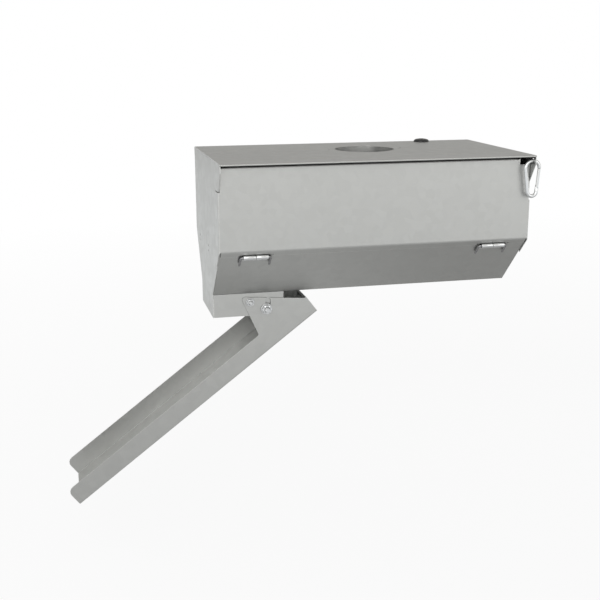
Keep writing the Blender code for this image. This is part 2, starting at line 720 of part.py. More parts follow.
# ---------------------------------------------------------------- carabiner
def carabiner():
    """A pear-shaped spring hook through the right ear, its gate outside the housing."""
    plate_middle = RIGHT - SHEET / 2
    top = Vector((plate_middle - CARABINER_INSET, HOOK_Z - CARABINER_TOP_RADIUS))
    foot_z = HOOK_Z + WIRE_RADIUS - CARABINER_LENGTH + WIRE_RADIUS + CARABINER_FOOT_RADIUS
    foot = Vector((top.x + CARABINER_LEAN, foot_z))
    up = (top - foot).normalized()
    right = Vector((up.y, -up.x))
    narrowing = (CARABINER_TOP_RADIUS - CARABINER_FOOT_RADIUS) / (top - foot).length
    level = (1 - narrowing**2) ** 0.5
    side_right = right * level - up * narrowing  # towards the gate leg's outer side
    side_left = -right * level - up * narrowing
    start = atan2(side_right.y, side_right.x)
    end = atan2(side_left.y, side_left.x) % (2 * pi)
    steps = 16
    bow = [start + (end - start) * k / steps for k in range(steps + 1)]
    curl = [end + (start + 2 * pi - end) * k / 10 for k in range(11)]
    plane = [top + Vector((cos(a), sin(a))) * CARABINER_TOP_RADIUS for a in bow]
    plane += [foot + Vector((cos(a), sin(a))) * CARABINER_FOOT_RADIUS for a in curl]
    gate_foot = foot + side_right * CARABINER_FOOT_RADIUS
    gate_top = top + side_right * CARABINER_TOP_RADIUS
    leg = (gate_top - gate_foot).normalized()
    tongue_end = TONGUE_START + TONGUE_LENGTH
    plane += [gate_foot + leg * TONGUE_START, gate_foot + leg * tongue_end]

    def lay(point, y=HOOK_Y):
        return Vector((point.x, y, point.y))

    hook = swept("carabiner_hook", [lay(p) for p in plane], (0, 1, 0), WIRE_RADIUS, ZINC, 12)
    slab_low = gate_foot + leg * TONGUE_START
    slab_high = gate_foot + leg * (tongue_end + 3 * MM)
    square = Vector((leg.y, -leg.x)) * 2 * WIRE_RADIUS
    outline = [slab_low - square, slab_low + square, slab_high + square, slab_high - square]
    outline = [tuple(p) for p in outline]
    for way in (-1, 1):
        edges = sorted((HOOK_Y + way * TONGUE_HALF, HOOK_Y + way * 2 * WIRE_RADIUS))
        cut(hook, prism("tongue_cut", outline, "Y", edges[0], edges[1]))
    pivot = lay(gate_foot + leg * GATE_PIVOT)
    drill(hook, pivot.x, pivot.y, pivot.z, "Y", GATE_PIN_RADIUS + CLEAR, sides=12)

    gate_low = gate_foot + leg * GATE_START
    gate = swept("carabiner_gate", [lay(gate_low), lay(gate_top - leg * CLEAR)], (0, 1, 0), GATE_RADIUS, ZINC, 12)
    slot_high = gate_foot + leg * (tongue_end + 2 * CLEAR)
    slot_low = gate_foot + leg * (GATE_START - 1 * MM)
    outline = [slot_low - square, slot_low + square, slot_high + square, slot_high - square]
    slot = prism("gate_slot", [tuple(p) for p in outline], "Y", HOOK_Y - TONGUE_HALF - CLEAR, HOOK_Y + TONGUE_HALF + CLEAR)
    cut(gate, slot)
    drill(gate, pivot.x, pivot.y, pivot.z, "Y", GATE_PIN_RADIUS + CLEAR, sides=12)
    half = GATE_RADIUS
    profile = [(0, -half), (GATE_PIN_RADIUS, -half), (GATE_PIN_RADIUS, half), (0, half)]
    pin = turned("carabiner_gate_pin", profile, pivot, (0, 1, 0), ZINC, 12)

    swing = pivot_empty("carabiner_swing_line", (top.x, HOOK_Y, HOOK_Z))
    carry(swing, hook, pin)
    carry(pivot_empty("gate_pivot_line", pivot), gate)


# ---------------------------------------------------------------- chute
def lock_place():
    turn = radians(LOCK_ANGLE)
    return PIVOT + Vector((cos(turn), 0, sin(turn))) * LOCK_RADIUS


def chute_channel():
    """The tilting chute, drawn level along its own X about its pivot, then turned to its slope."""
    inner = FLOOR_WIDTH / 2 + 0.5 * MM
    outer = inner + SHEET
    floor = -PIVOT_ABOVE_CHUTE
    low_end = -PIVOT_ALONG_CHUTE
    high_end = low_end + CHUTE_LENGTH
    tall = floor + CHEEK_APEX_HEIGHT
    path = [(outer, tall), (outer, floor), (-outer, floor), (-outer, tall)]
    channel = prism("chute_channel", folded(path, thickness=-SHEET), "X", low_end, high_end)

    wall = floor + CHUTE_WALL
    above = tall + 10 * MM
    corners = [
        (low_end - 10 * MM, above),
        (low_end - 10 * MM, wall - CHUTE_CORNER),
        (low_end, wall - CHUTE_CORNER),
        (low_end, wall),
        (low_end + CHEEK_START, wall),
        (low_end + CHEEK_APEX, tall),
        (low_end + CHEEK_END, wall),
        (high_end + 10 * MM, wall),
        (high_end + 10 * MM, above),
    ]
    radii = [0, 0, 0, CHUTE_CORNER, 3 * MM, CHEEK_ROUND, 0, 0, 0]
    trim = [tuple(p) for p in filleted(corners, radii)]
    trimmer = prism("chute_trim", trim, "Y", -outer - 5 * MM, outer + 5 * MM)

    seat = SHEET / 3
    low = (high_end - seat - SHEET, -inner + CLEAR, floor + SHEET / 2)
    high = (high_end - seat, inner - CLEAR, wall - seat)
    stop = box("chute_stop", low, high)

    slot_half = LOCK_BOLT_RADIUS + CLEAR
    begin = LOCK_ANGLE - CHUTE_SLOPE
    finish = begin + CHUTE_TILT
    outline = arc((0, 0), LOCK_RADIUS + slot_half, begin, finish, 8)
    cap = (LOCK_RADIUS * cos(radians(finish)), LOCK_RADIUS * sin(radians(finish)))
    outline += arc(cap, slot_half, finish, finish + 180, 6)[1:]
    outline += arc((0, 0), LOCK_RADIUS - slot_half, finish, begin, 8)[1:]
    cap = (LOCK_RADIUS * cos(radians(begin)), LOCK_RADIUS * sin(radians(begin)))
    outline += arc(cap, slot_half, begin + 180, begin + 360, 6)[1:-1]
    slot = prism("lock_slot", outline, "Y", -outer - 5 * MM, outer + 5 * MM)
    reach = outer + 5 * MM
    radius = PIVOT_BOLT_RADIUS + CLEAR
    profile = [(0, -reach), (radius, -reach), (radius, reach), (0, reach)]
    bore = turned("pivot_bore", profile, (0, 0, 0), (0, 1, 0), GALVANISED, 16)
    add(channel, stop)
    cut(channel, trimmer, slot, bore)

    turn_line = pivot_empty("chute_pivot_line", PIVOT)
    turn_line.rotation_euler = (0, -radians(CHUTE_SLOPE), 0)
    for piece in (channel, trimmer, stop, slot, bore):
        piece.parent = turn_line
    return channel


def chute_bolt(name, place, side, radius):
    """Bolt from inside the outlet box, washer and nut outside the chute's cheek."""
    facing = (0, side, 0)
    head_flats, head = 3.3 * radius, 1.25 * radius
    nut = 1.6 * radius
    washer, washer_radius = 0.4 * radius, 2.25 * radius
    wall_inside = FLOOR_WIDTH / 2 - SHEET
    cheek_outside = FLOOR_WIDTH / 2 + 0.5 * MM + SHEET
    nut_start = cheek_outside + CLEAR + washer + CLEAR
    end = nut_start + nut + radius
    base = wall_inside - CLEAR
    centre = Vector((place.x, 0, place.z))

    def hex_prism(piece, flats, low, high, bore):
        sides = sorted((side * low, side * high))
        ring = [(centre.x + a, centre.z + b) for a, b in hexagon(flats)]
        made = prism(piece, ring, "Y", sides[0], sides[1], ZINC)
        if bore:
            drill(made, centre.x, side * (low + high) / 2, centre.z, "Y", bore, 2 * nut, 16)
        return made

    bolt = hex_prism(f"{name}_bolt", head_flats, base - head, base, 0)
    shank = [(0, -head / 2), (radius, -head / 2), (radius, end - base - 0.5 * MM), (radius - 0.5 * MM, end - base), (0, end - base)]
    add(bolt, turned("shank", shank, centre + Vector(facing) * base, facing, ZINC, 16))
    hex_prism(f"{name}_nut", head_flats, nut_start, nut_start + nut, radius + CLEAR)
    ring = [(washer_radius, 0), (washer_radius, washer), (radius + CLEAR, washer), (radius + CLEAR, 0)]
    turned(f"{name}_washer", ring, centre + Vector(facing) * (cheek_outside + CLEAR), facing, ZINC, 20)


# ---------------------------------------------------------------- auger drive
def auger_trough():
    outer = AUGER_TROUGH_RADIUS + SHEET
    top = DECK_UNDER - CLEAR - SHEET
    reach = outer + TROUGH_FLANGE
    path = [
        (-reach, top),
        (-outer, top),
        (-outer, AXIS_Z - outer),
        (outer, AXIS_Z - outer),
        (outer, top),
        (reach, top),
    ]
    radii = [0, BEND, outer, outer, BEND, 0]
    outline = folded(path, radii, steps=8)
    trough = prism("auger_trough", outline, "X", LEFT + TROUGH_START, LEFT + TROUGH_END)
    low = (LEFT + TROUGH_MOUTH_START, -TROUGH_MOUTH_HALF, AXIS_Z - outer - 5 * MM)
    high = (LEFT + TROUGH_MOUTH_END, TROUGH_MOUTH_HALF, AXIS_Z)
    cut(trough, box("trough_mouth", low, high))
    return trough


def trough_end_plate():
    """Closes the trough behind the outlet and carries the auger's bush."""
    radius = AUGER_TROUGH_RADIUS - CLEAR
    top = DECK_UNDER - CLEAR - SHEET
    outline = [(radius, top)] + arc((0, AXIS_Z), radius, 0, -180, 16) + [(-radius, top)]
    x = LEFT + TROUGH_START
    plate = prism("trough_end_plate", outline, "X", x, x + SHEET)
    drill(plate, x, 0, AXIS_Z, "X", BUSH_RADIUS + CLEAR)
    return plate


def auger_bush():
    """A flanged plain bearing; the flange lies against the plate's feed side."""
    plate = TROUGH_START
    bore = AUGER_SHAFT_RADIUS + CLEAR
    flange = plate + SHEET + CLEAR
    profile = [
        (bore, plate - 5 * MM),
        (BUSH_RADIUS, plate - 5 * MM),
        (BUSH_RADIUS, flange),
        (BUSH_FLANGE_RADIUS, flange),
        (BUSH_FLANGE_RADIUS, flange + BUSH_FLANGE),
        (bore, flange + BUSH_FLANGE),
    ]
    return turned("auger_bush", profile, (LEFT, 0, AXIS_Z), (1, 0, 0), NYLON)


def auger_screw():
    """Shaft with one helical flight that drives feed towards -X."""
    profile = [(0, SHAFT_START), (AUGER_SHAFT_RADIUS, SHAFT_START), (AUGER_SHAFT_RADIUS, SHAFT_END), (0, SHAFT_END)]
    shaft = turned("auger_screw", profile, (LEFT, 0, AXIS_Z), (1, 0, 0), AUGER_STEEL, 20)
    per_turn = 20
    steps = round((FLIGHT_END - FLIGHT_START) / AUGER_PITCH * per_turn)
    inner = AUGER_SHAFT_RADIUS - 0.8 * MM
    half = FLIGHT_THICKNESS / 2
    corners = [(inner, -half), (AUGER_RADIUS, -half), (AUGER_RADIUS, half), (inner, half)]
    vertices, faces = [], []
    for k in range(steps + 1):
        along = (FLIGHT_END - FLIGHT_START) * k / steps
        angle = 2 * pi * along / AUGER_PITCH
        for radius, shift in corners:
            x = LEFT + FLIGHT_START + along + shift
            vertices.append((x, radius * cos(angle), AXIS_Z + radius * sin(angle)))
    for k in range(steps):
        for c in range(4):
            n = (c + 1) % 4
            faces.append((4 * k + c, 4 * k + n, 4 * k + 4 + n, 4 * k + 4 + c))
    faces.append((0, 1, 2, 3))
    faces.append((4 * steps, 4 * steps + 1, 4 * steps + 2, 4 * steps + 3))
    add(shaft, mesh_object("flight", vertices, faces, AUGER_STEEL))
    return shaft


def drive_line():
    """Coupling, its pin and the gearbox's output shaft, which turn with the auger."""
    centre = (LEFT, 0, AXIS_Z)
    bore = AUGER_SHAFT_RADIUS + CLEAR
    end = COUPLING_START + COUPLING_LENGTH
    sleeve = [(bore, COUPLING_START), (COUPLING_RADIUS, COUPLING_START), (COUPLING_RADIUS, end), (bore, end)]
    coupling = turned("drive_coupling", sleeve, centre, (1, 0, 0), ZINC)
    pin_x = LEFT + (COUPLING_START + SHAFT_END) / 2
    pin_bore = COUPLING_PIN_RADIUS + CLEAR
    screw = bpy.data.objects["auger_screw"]
    drill(screw, pin_x, 0, AXIS_Z, "Z", pin_bore, 2 * COUPLING_RADIUS, 12)
    drill(coupling, pin_x, 0, AXIS_Z, "Z", pin_bore, 2 * COUPLING_RADIUS, 12)
    half = COUPLING_RADIUS + 1 * MM
    profile = [(0, -half), (COUPLING_PIN_RADIUS, -half), (COUPLING_PIN_RADIUS, half), (0, half)]
    pin = turned("coupling_pin", profile, (pin_x, 0, AXIS_Z), (0, 0, 1), ZINC, 12)
    start, finish = SHAFT_END + CLEAR, gearbox_start() + GEARBOX_SHAFT_DEPTH - 2 * CLEAR
    profile = [(0, start), (AUGER_SHAFT_RADIUS, start), (AUGER_SHAFT_RADIUS, finish), (0, finish)]
    output = turned("gearbox_shaft", profile, centre, (1, 0, 0), ZINC, 20)
    carry(pivot_empty("auger_axis", (0, 0, AXIS_Z)), screw, coupling, pin, output)


def gearbox_start():
    """Distance from the housing's left end to the gearbox's mounting face."""
    return TROUGH_END + CLEAR + SHEET + CLEAR


def motor_bulkhead():
    """Closes the trough's right end and carries the gear motor; its foot stands on the floor."""
    x = LEFT + TROUGH_END + CLEAR
    floor = FLOOR_Z + SHEET + CLEAR
    path = [(x, DECK_UNDER - CLEAR), (x, floor), (x + BULKHEAD_FOOT, floor)]
    plate = prism("motor_bulkhead", folded(path), "Y", -BULKHEAD_HALF_WIDTH, BULKHEAD_HALF_WIDTH)
    drill(plate, x, 0, AXIS_Z, "X", GEARBOX_PILOT_RADIUS + CLEAR)
    for place in gearbox_screw_places():
        drill(plate, x, place[0], place[1], "X", SCREW_RADIUS + CLEAR, sides=12)
    return plate


def gearbox_screw_places():
    return [(p[0], p[1]) for p in arc((0, AXIS_Z), GEARBOX_SCREW_CIRCLE, 45, 315, 3)]


def gear_motor():
    face = gearbox_start()
    centre = (LEFT, 0, AXIS_Z)
    pilot = face - SHEET - CLEAR
    bore = AUGER_SHAFT_RADIUS + CLEAR
    back = face + GEARBOX_LENGTH
    profile = [
        (0, face + GEARBOX_SHAFT_DEPTH),
        (bore, face + GEARBOX_SHAFT_DEPTH),
        (bore, pilot),
        (GEARBOX_PILOT_RADIUS, pilot),
        (GEARBOX_PILOT_RADIUS, face),
        (GEARBOX_RADIUS, face),
        (GEARBOX_RADIUS, back - 1.5 * MM),
        (GEARBOX_RADIUS - 1.5 * MM, back),
        (0, back),
    ]
    gearbox = turned("gearbox", profile, centre, (1, 0, 0), ZINC, 36)
    bore, mouth, foot = SCREW_RADIUS + CLEAR, face - 1 * MM, face + SCREW_DEPTH + 1 * MM
    seat, tip = TROUGH_END, face + SCREW_DEPTH
    hole = [(0, mouth), (bore, mouth), (bore, foot), (0, foot)]
    screw = [(0, seat - SCREW_HEAD), (SCREW_HEAD_RADIUS, seat - SCREW_HEAD), (SCREW_HEAD_RADIUS, seat)]
    screw += [(SCREW_RADIUS, seat), (SCREW_RADIUS, tip), (0, tip)]
    for number, (y, z) in enumerate(gearbox_screw_places(), 1):
        cut(gearbox, turned("screw_bore", hole, (LEFT, y, z), (1, 0, 0), ZINC, 12))
        turned(f"gearbox_screw_{number}", screw, (LEFT, y, z), (1, 0, 0), ZINC, 12)
    start = back + CLEAR
    end = start + MOTOR_LENGTH
    can = [
        (0, start),
        (MOTOR_RADIUS, start),
        (MOTOR_RADIUS, end - 3 * MM),
        (MOTOR_RADIUS - 3 * MM, end),
        (6 * MM, end),
        (6 * MM, end + 3 * MM),
        (0, end + 3 * MM),
    ]
    turned("motor_can", can, centre, (1, 0, 0), AUGER_STEEL, 28)
    return gearbox


def inlet_funnel():
    """Round under the roof, and drawn to the trough's width below the deck."""
    top = UNDER_ROOF
    bottom = DECK_UNDER - FUNNEL_DIP
    sides = 48
    levels = (0, 0.2, 0.4, 0.6, 0.8, 1)

    def ring(half_x, half_y, power, z):
        points = []
        for k in range(sides):
            angle = 2 * pi * k / sides
            c, s = abs(cos(angle)), abs(sin(angle))
            radius = ((c / half_x) ** power + (s / half_y) ** power) ** (-1 / power)
            points.append((radius * cos(angle), radius * sin(angle), z))
        return points

    def wall(offset, start_z):
        rings = []
        for level in levels:
            ease = level * level * (3 - 2 * level)
            half_x = FUNNEL_THROAT + (FUNNEL_HALF_LENGTH - SHEET - FUNNEL_THROAT) * ease
            half_y = FUNNEL_THROAT + (FUNNEL_HALF_WIDTH - SHEET - FUNNEL_THROAT) * ease
            z = start_z + (bottom - start_z) * level
            rings.append(ring(half_x + offset, half_y + offset, 2 + 6 * ease, z))
        return rings

    flange = FUNNEL_FLANGE_RADIUS
    rings = [ring(flange, flange, 2, top)] + wall(0, top)
    rings += list(reversed(wall(SHEET, top - SHEET))) + [ring(flange, flange, 2, top - SHEET)]
    vertices = [point for loop in rings for point in loop]
    faces = []
    for i in range(len(rings)):
        a, b = i * sides, (i + 1) % len(rings) * sides
        for k in range(sides):
            n = (k + 1) % sides
            faces.append((a + k, a + n, b + n, b + k))
    funnel = mesh_object("inlet_funnel", vertices, faces, GALVANISED)
    for side in (-1, 1):
        drill(funnel, side * INLET_BOLT_CIRCLE, 0, top, "Z", INLET_BOLT_HOLE, sides=12)
    return funnel


# ---------------------------------------------------------------- deck, battery and timer
def deck_panel():
    """The shelf between the auger space and the dry compartment behind the door."""
    back = BACK_SHELL - SHEET - CLEAR
    path = [(DOOR_INSIDE + SHEET, DECK_UNDER), (back, DECK_UNDER), (back, DECK_UNDER + DECK_FLANGE)]
    deck = prism("deck_panel", folded(path), "X", INNER_LEFT, INNER_RIGHT)
    gap = 1 * MM
    low = (-FUNNEL_HALF_LENGTH - gap, -FUNNEL_HALF_WIDTH - gap, DECK_UNDER - SHEET)
    high = (FUNNEL_HALF_LENGTH + gap, FUNNEL_HALF_WIDTH + gap, DECK_TOP + SHEET)
    cut(deck, box("funnel_cut", low, high))
    return deck


def battery():
    x_high = INNER_RIGHT - BATTERY_FROM_RIGHT
    x_low = x_high - BATTERY[0]
    y_low = FRONT + BATTERY_FROM_FRONT
    y_high = y_low + BATTERY[1]
    z_low = DECK_TOP + CLEAR
    z_high = z_low + BATTERY[2]
    outline = filleted([(x_low, y_low), (x_high, y_low), (x_high, y_high), (x_low, y_high)], 4 * MM, closed=True)
    case = prism("battery_case", [tuple(p) for p in outline], "Z", z_low, z_high, BLACK_PLASTIC)
    for name, x in (("positive", x_low + 14 * MM), ("negative", x_high - 14 * MM)):
        post = [(0, 0), (4.5 * MM, 0), (4.5 * MM, 1 * MM), (3.2 * MM, 1 * MM), (3.2 * MM, 6 * MM), (0, 6 * MM)]
        turned(f"battery_{name}_terminal", post, (x, y_low + 12 * MM, z_high + CLEAR), (0, 0, 1), BRASS, 16)
    foot_front, foot_back = y_low - CLEAR, y_high + CLEAR
    top = z_high + CLEAR
    path = [
        (foot_front - STRAP_FOOT, z_low + SHEET),
        (foot_front - SHEET, z_low + SHEET),
        (foot_front - SHEET, top + SHEET),
        (foot_back + SHEET, top + SHEET),
        (foot_back + SHEET, z_low + SHEET),
        (foot_back + STRAP_FOOT, z_low + SHEET),
    ]
    radii = [0, 0.8 * MM, BEND, BEND, 0.8 * MM, 0]
    middle = (x_low + x_high) / 2
    strap = folded(path, radii, thickness=-SHEET)
    prism("battery_strap", strap, "X", middle - STRAP_WIDTH / 2, middle + STRAP_WIDTH / 2)
    return case


def timer():
    """Feeding clock on its bracket, facing the door."""
    x_low = LEFT + TIMER_FROM_LEFT
    x_high = x_low + TIMER[0]
    front = FRONT + TIMER_FROM_FRONT
    back = front + TIMER[1]
    z_low = DECK_TOP + TIMER_LIFT
    z_high = z_low + TIMER[2]
    outline = filleted([(x_low, z_low), (x_high, z_low), (x_high, z_high), (x_low, z_high)], 5 * MM, closed=True)
    case = prism("timer_case", [tuple(p) for p in outline], "Y", front, back, GREY_PLASTIC)
    middle = (x_low + x_high) / 2
    screen_top = z_high - SCREEN_BELOW_TOP
    half = SCREEN[0] / 2
    low = (middle - half - CLEAR, front - 1 * MM, screen_top - SCREEN[1] - CLEAR)
    high = (middle + half + CLEAR, front + SCREEN_DEPTH + CLEAR, screen_top + CLEAR)
    cut(case, box("screen_recess", low, high))
    low = (middle - half, front, screen_top - SCREEN[1])
    high = (middle + half, front + SCREEN_DEPTH, screen_top)
    box("timer_screen", low, high, SCREEN_GREEN)
    for number in range(3):
        x = middle + (number - 1) * BUTTON_PITCH
        z = z_low + BUTTON_ABOVE_FOOT
        depth = BUTTON_LENGTH - BUTTON_PROUD + BUTTON_TRAVEL + CLEAR
        hole = [(0, -1 * MM), (BUTTON_RADIUS + CLEAR, -1 * MM), (BUTTON_RADIUS + CLEAR, depth), (0, depth)]
        cut(case, turned("button_bore", hole, (x, front, z), (0, 1, 0), GREY_PLASTIC, 20))
        profile = [
            (0, -BUTTON_PROUD),
            (BUTTON_RADIUS - 0.8 * MM, -BUTTON_PROUD),
            (BUTTON_RADIUS, -BUTTON_PROUD + 0.6 * MM),
            (BUTTON_RADIUS, BUTTON_LENGTH - BUTTON_PROUD),
            (0, BUTTON_LENGTH - BUTTON_PROUD),
        ]
        button = turned(f"timer_button_{number + 1}", profile, (x, front, z), (0, 1, 0), BUTTON_PLASTIC, 20)
        carry(pivot_empty(f"timer_button_{number + 1}_slide", (x, front, z)), button)
    foot = DECK_TOP + CLEAR
    face = back + CLEAR
    path = [(face, z_high - TIMER_BRACKET_SHORT), (face, foot), (face + TIMER_BRACKET_FOOT, foot)]
    low, high = x_low + TIMER_BRACKET_INSET, x_high - TIMER_BRACKET_INSET
    prism("timer_bracket", folded(path), "X", low, high)
    return case


# ---------------------------------------------------------------- build
roof_panel()
housing_shell()
left_end_plate()
right_end_plate()
outlet_box()
cable_grommet()
door_panel()
for hinge_x, hinge_side in hinge_places():
    hinge(hinge_x, hinge_side)
carabiner()
chute_channel()
for bolt_side, bolt_way in (("front", -1), ("back", 1)):
    chute_bolt(f"pivot_{bolt_side}", PIVOT, bolt_way, PIVOT_BOLT_RADIUS)
    chute_bolt(f"lock_{bolt_side}", lock_place(), bolt_way, LOCK_BOLT_RADIUS)
auger_trough()
trough_end_plate()
auger_bush()
auger_screw()
drive_line()
motor_bulkhead()
gear_motor()
inlet_funnel()
deck_panel()
battery()
timer()
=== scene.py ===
"""Finishes, finer pieces and studio for a galvanised auger feeder head.

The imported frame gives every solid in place. This script gives each of them its finish, and puts
smoother or more detailed pieces over the ones that a viewer sees up close: the carabiner, the
hinge barrels, pins and rivets, the chute's bolts, the inlet funnel, the cable grommet, the auger,
the battery and the timer's face. All sizes are in metres.
"""

import json

import bmesh
import bpy
import numpy as np
from bpy.props import FloatProperty, FloatVectorProperty, PointerProperty
from bpy.types import Operator, Panel, PropertyGroup
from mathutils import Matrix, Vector


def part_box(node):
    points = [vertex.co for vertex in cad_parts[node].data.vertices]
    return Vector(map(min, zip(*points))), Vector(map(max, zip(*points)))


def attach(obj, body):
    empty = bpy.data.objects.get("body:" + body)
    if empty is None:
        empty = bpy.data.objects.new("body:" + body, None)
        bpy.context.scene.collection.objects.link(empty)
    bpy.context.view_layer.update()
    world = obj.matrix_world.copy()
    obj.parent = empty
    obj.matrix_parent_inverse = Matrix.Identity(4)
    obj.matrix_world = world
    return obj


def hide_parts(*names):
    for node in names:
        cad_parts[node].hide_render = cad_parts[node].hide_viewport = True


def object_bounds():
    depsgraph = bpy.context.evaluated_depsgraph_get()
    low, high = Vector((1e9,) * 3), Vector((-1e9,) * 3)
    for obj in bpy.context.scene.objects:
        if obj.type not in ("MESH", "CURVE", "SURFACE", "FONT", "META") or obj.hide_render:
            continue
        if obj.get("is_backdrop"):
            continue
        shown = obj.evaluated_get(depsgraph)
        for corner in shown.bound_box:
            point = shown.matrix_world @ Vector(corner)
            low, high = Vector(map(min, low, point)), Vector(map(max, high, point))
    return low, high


bl_info = {
    "name": "Auger Feeder Head",
    "version": (1, 0, 0),
    "blender": (4, 5, 0),
    "location": "3D View > Sidebar > Feeder",
    "description": "Builds the finishes and fine pieces of a galvanised auger feeder head",
    "category": "Object",
}

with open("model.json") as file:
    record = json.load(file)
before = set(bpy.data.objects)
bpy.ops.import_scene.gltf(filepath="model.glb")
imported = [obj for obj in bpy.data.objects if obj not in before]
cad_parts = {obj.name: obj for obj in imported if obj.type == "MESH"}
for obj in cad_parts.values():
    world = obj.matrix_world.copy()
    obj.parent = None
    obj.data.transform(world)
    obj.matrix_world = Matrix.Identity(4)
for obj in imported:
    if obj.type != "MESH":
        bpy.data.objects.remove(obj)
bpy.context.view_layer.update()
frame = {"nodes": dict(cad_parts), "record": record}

MM = 0.001

# ---------------------------------------------------------------- places shared with the frame
DOOR_FACE_Y = -140.6 * MM
SILL_Z = -127.8 * MM
SLOPE_END_Y, SLOPE_END_Z = -57.8 * MM, -211.7 * MM
HINGE_DOWN_SLOPE = 12.6 * MM
HINGE_RISE = 3.5 * MM  # pin centre above the slope's outer face
HINGE_HALF = 18.5 * MM
RIVET_DOWN_SLOPE = 19.4 * MM
RIVET_SEAT = 1.8 * MM  # outer face of the hinge leaf above the slope
CARABINER_X = 220.4 * MM  # centre of the carabiner's top bow
AUGER_Z = -171.0 * MM
HOUSING_LEFT = -258 * MM
FLIGHT_START, FLIGHT_FINISH = 20 * MM, 296 * MM  # from the housing's left end
SHEET = 1.2 * MM
INLET_THROAT = 46.5 * MM  # inside radius of the funnel's round top
FUNNEL_HALF_LENGTH = 48 * MM
FUNNEL_HALF_WIDTH = 36 * MM
BOLT_PLACE = 59 * MM  # from the inlet's middle to each of the two bolts the head hangs on
BOLT_HOLE = 3.25 * MM

# The slope below the door, as (y, z): where it starts, its way down and its way out.
SILL = np.array([DOOR_FACE_Y, SILL_Z])
slope_run = np.array([SLOPE_END_Y, SLOPE_END_Z]) - SILL
SLOPE = slope_run / np.linalg.norm(slope_run)
SLOPE_OUT = np.array([SLOPE[1], -SLOPE[0]])
OUTWARD = (0, *SLOPE_OUT)

# ---------------------------------------------------------------- camera of the photograph
CAMERA_PLACE = (-0.467905, -1.529601, 0.161632)
CAMERA_LENS = 59.496
CAMERA_SENSOR = 36.0
CAMERA_AZIMUTH = -13.306  # degrees
CAMERA_ELEVATION = 14.438
CAMERA_ROLL = -0.162

# ---------------------------------------------------------------- studio levels
RIGHT_LAMP_SHARE = 0.22  # of the key lamp's power
TOP_LAMP_SHARE = 0.08
ROOM_TINT = (1.0, 0.985, 0.95, 1)  # of the surroundings in reflections, and of the dim floor
FLOOR_TINT = (0.975, 0.995, 1.0, 1)  # of the bright floor in reflections
FLOOR_DROP = 0.06  # from the part's lowest point to the floor


# ---------------------------------------------------------------- settings
class FeederSizes(PropertyGroup):
    """Sizes a user would change on the fine pieces."""

    wire_radius: FloatProperty(
        name="Carabiner wire radius", description="Radius of the carabiner's wire",
        default=2.8 * MM, min=1 * MM, max=5 * MM, unit="LENGTH",
    )
    auger_pitch: FloatProperty(
        name="Auger pitch", description="Travel of the flight in one turn",
        default=60 * MM, min=20 * MM, max=120 * MM, unit="LENGTH",
    )
    auger_radius: FloatProperty(
        name="Auger radius", description="Outside radius of the flight",
        default=34 * MM, min=15 * MM, max=60 * MM, unit="LENGTH",
    )


class FeederColours(PropertyGroup):
    """Colours of the finishes."""

    galvanised: FloatVectorProperty(
        name="Galvanised sheet", description="Tone of the galvanised sheet", subtype="COLOR",
        size=3, default=(0.535, 0.540, 0.530), min=0, max=1,
    )
    zinc: FloatVectorProperty(
        name="Zinc plating", description="Tone of bright plated hardware", subtype="COLOR",
        size=3, default=(0.74, 0.75, 0.76), min=0, max=1,
    )
    rubber: FloatVectorProperty(
        name="Rubber", description="Tone of the cable grommet", subtype="COLOR",
        size=3, default=(0.018, 0.018, 0.018), min=0, max=1,
    )


class FeederStudio(PropertyGroup):
    """Levels of the studio's lamps."""

    key_watts: FloatProperty(
        name="Key lamp", description="Power of the large lamp in front", default=21, min=0,
        max=500,
    )
    ambient: FloatProperty(
        name="Ambient", description="Level of light from all round", default=0.55, min=0, max=2,
    )


# ---------------------------------------------------------------- surfaces
def skin(name, grid, along_closed=False, capped=True, sharp=32):
    """A closed skin over a grid of points: rows run along the piece and columns around it.

    Each four neighbours make a face. The columns always join up. The rows join up too where
    along_closed is set, and otherwise each end row is closed by a fan about its middle point.
    The signed volume, the sum of a . (b x c) / 6 over triangles, says which way the faces point,
    and they are turned round where it is negative.
    """
    rows, columns = grid.shape[:2]
    points = grid.reshape(-1, 3)
    row = np.arange(rows if along_closed else rows - 1)[:, None]
    column = np.arange(columns)[None, :]
    next_row, next_column = (row + 1) % rows, (column + 1) % columns
    corners = (
        row * columns + column, row * columns + next_column,
        next_row * columns + next_column, next_row * columns + column,
    )
    quads = np.stack(np.broadcast_arrays(*corners), -1).reshape(-1, 4)
    fans = np.zeros((0, 3), int)
    if capped and not along_closed:
        middles = np.stack([grid[0].mean(0), grid[-1].mean(0)])
        points = np.concatenate([points, middles])
        here = np.arange(columns)
        there = (here + 1) % columns
        start_middle, end_middle = np.full((2, columns), rows * columns) + [[0], [1]]
        last_row = (rows - 1) * columns
        first = np.stack([start_middle, there, here], -1)
        last = np.stack([end_middle, last_row + here, last_row + there], -1)
        fans = np.concatenate([first, last])
    triangles = np.concatenate([quads[:, [0, 1, 2]], quads[:, [0, 2, 3]], fans])
    a, b, c = (points[triangles[:, k]] for k in range(3))
    if np.einsum("ij,ij->", a, np.cross(b, c)) < 0:
        quads, fans = quads[:, ::-1], fans[:, ::-1]
    mesh = bpy.data.meshes.new(name)
    mesh.from_pydata(points.tolist(), [], quads.tolist() + fans.tolist())
    mesh.shade_smooth()
    mesh.set_sharp_from_angle(angle=np.radians(sharp))
    piece = bpy.data.objects.new(name, mesh)
    bpy.context.scene.collection.objects.link(piece)
    return piece


def across_axes(direction):
    """Two unit vectors square to a direction and to each other."""
    along = np.asarray(direction, float) / np.linalg.norm(direction)
    helper = np.array([0, 0, 1.0]) if abs(along[2]) < 0.9 else np.array([1.0, 0, 0])
    first = np.cross(helper, along)
    first /= np.linalg.norm(first)
    return along, first, np.cross(along, first)


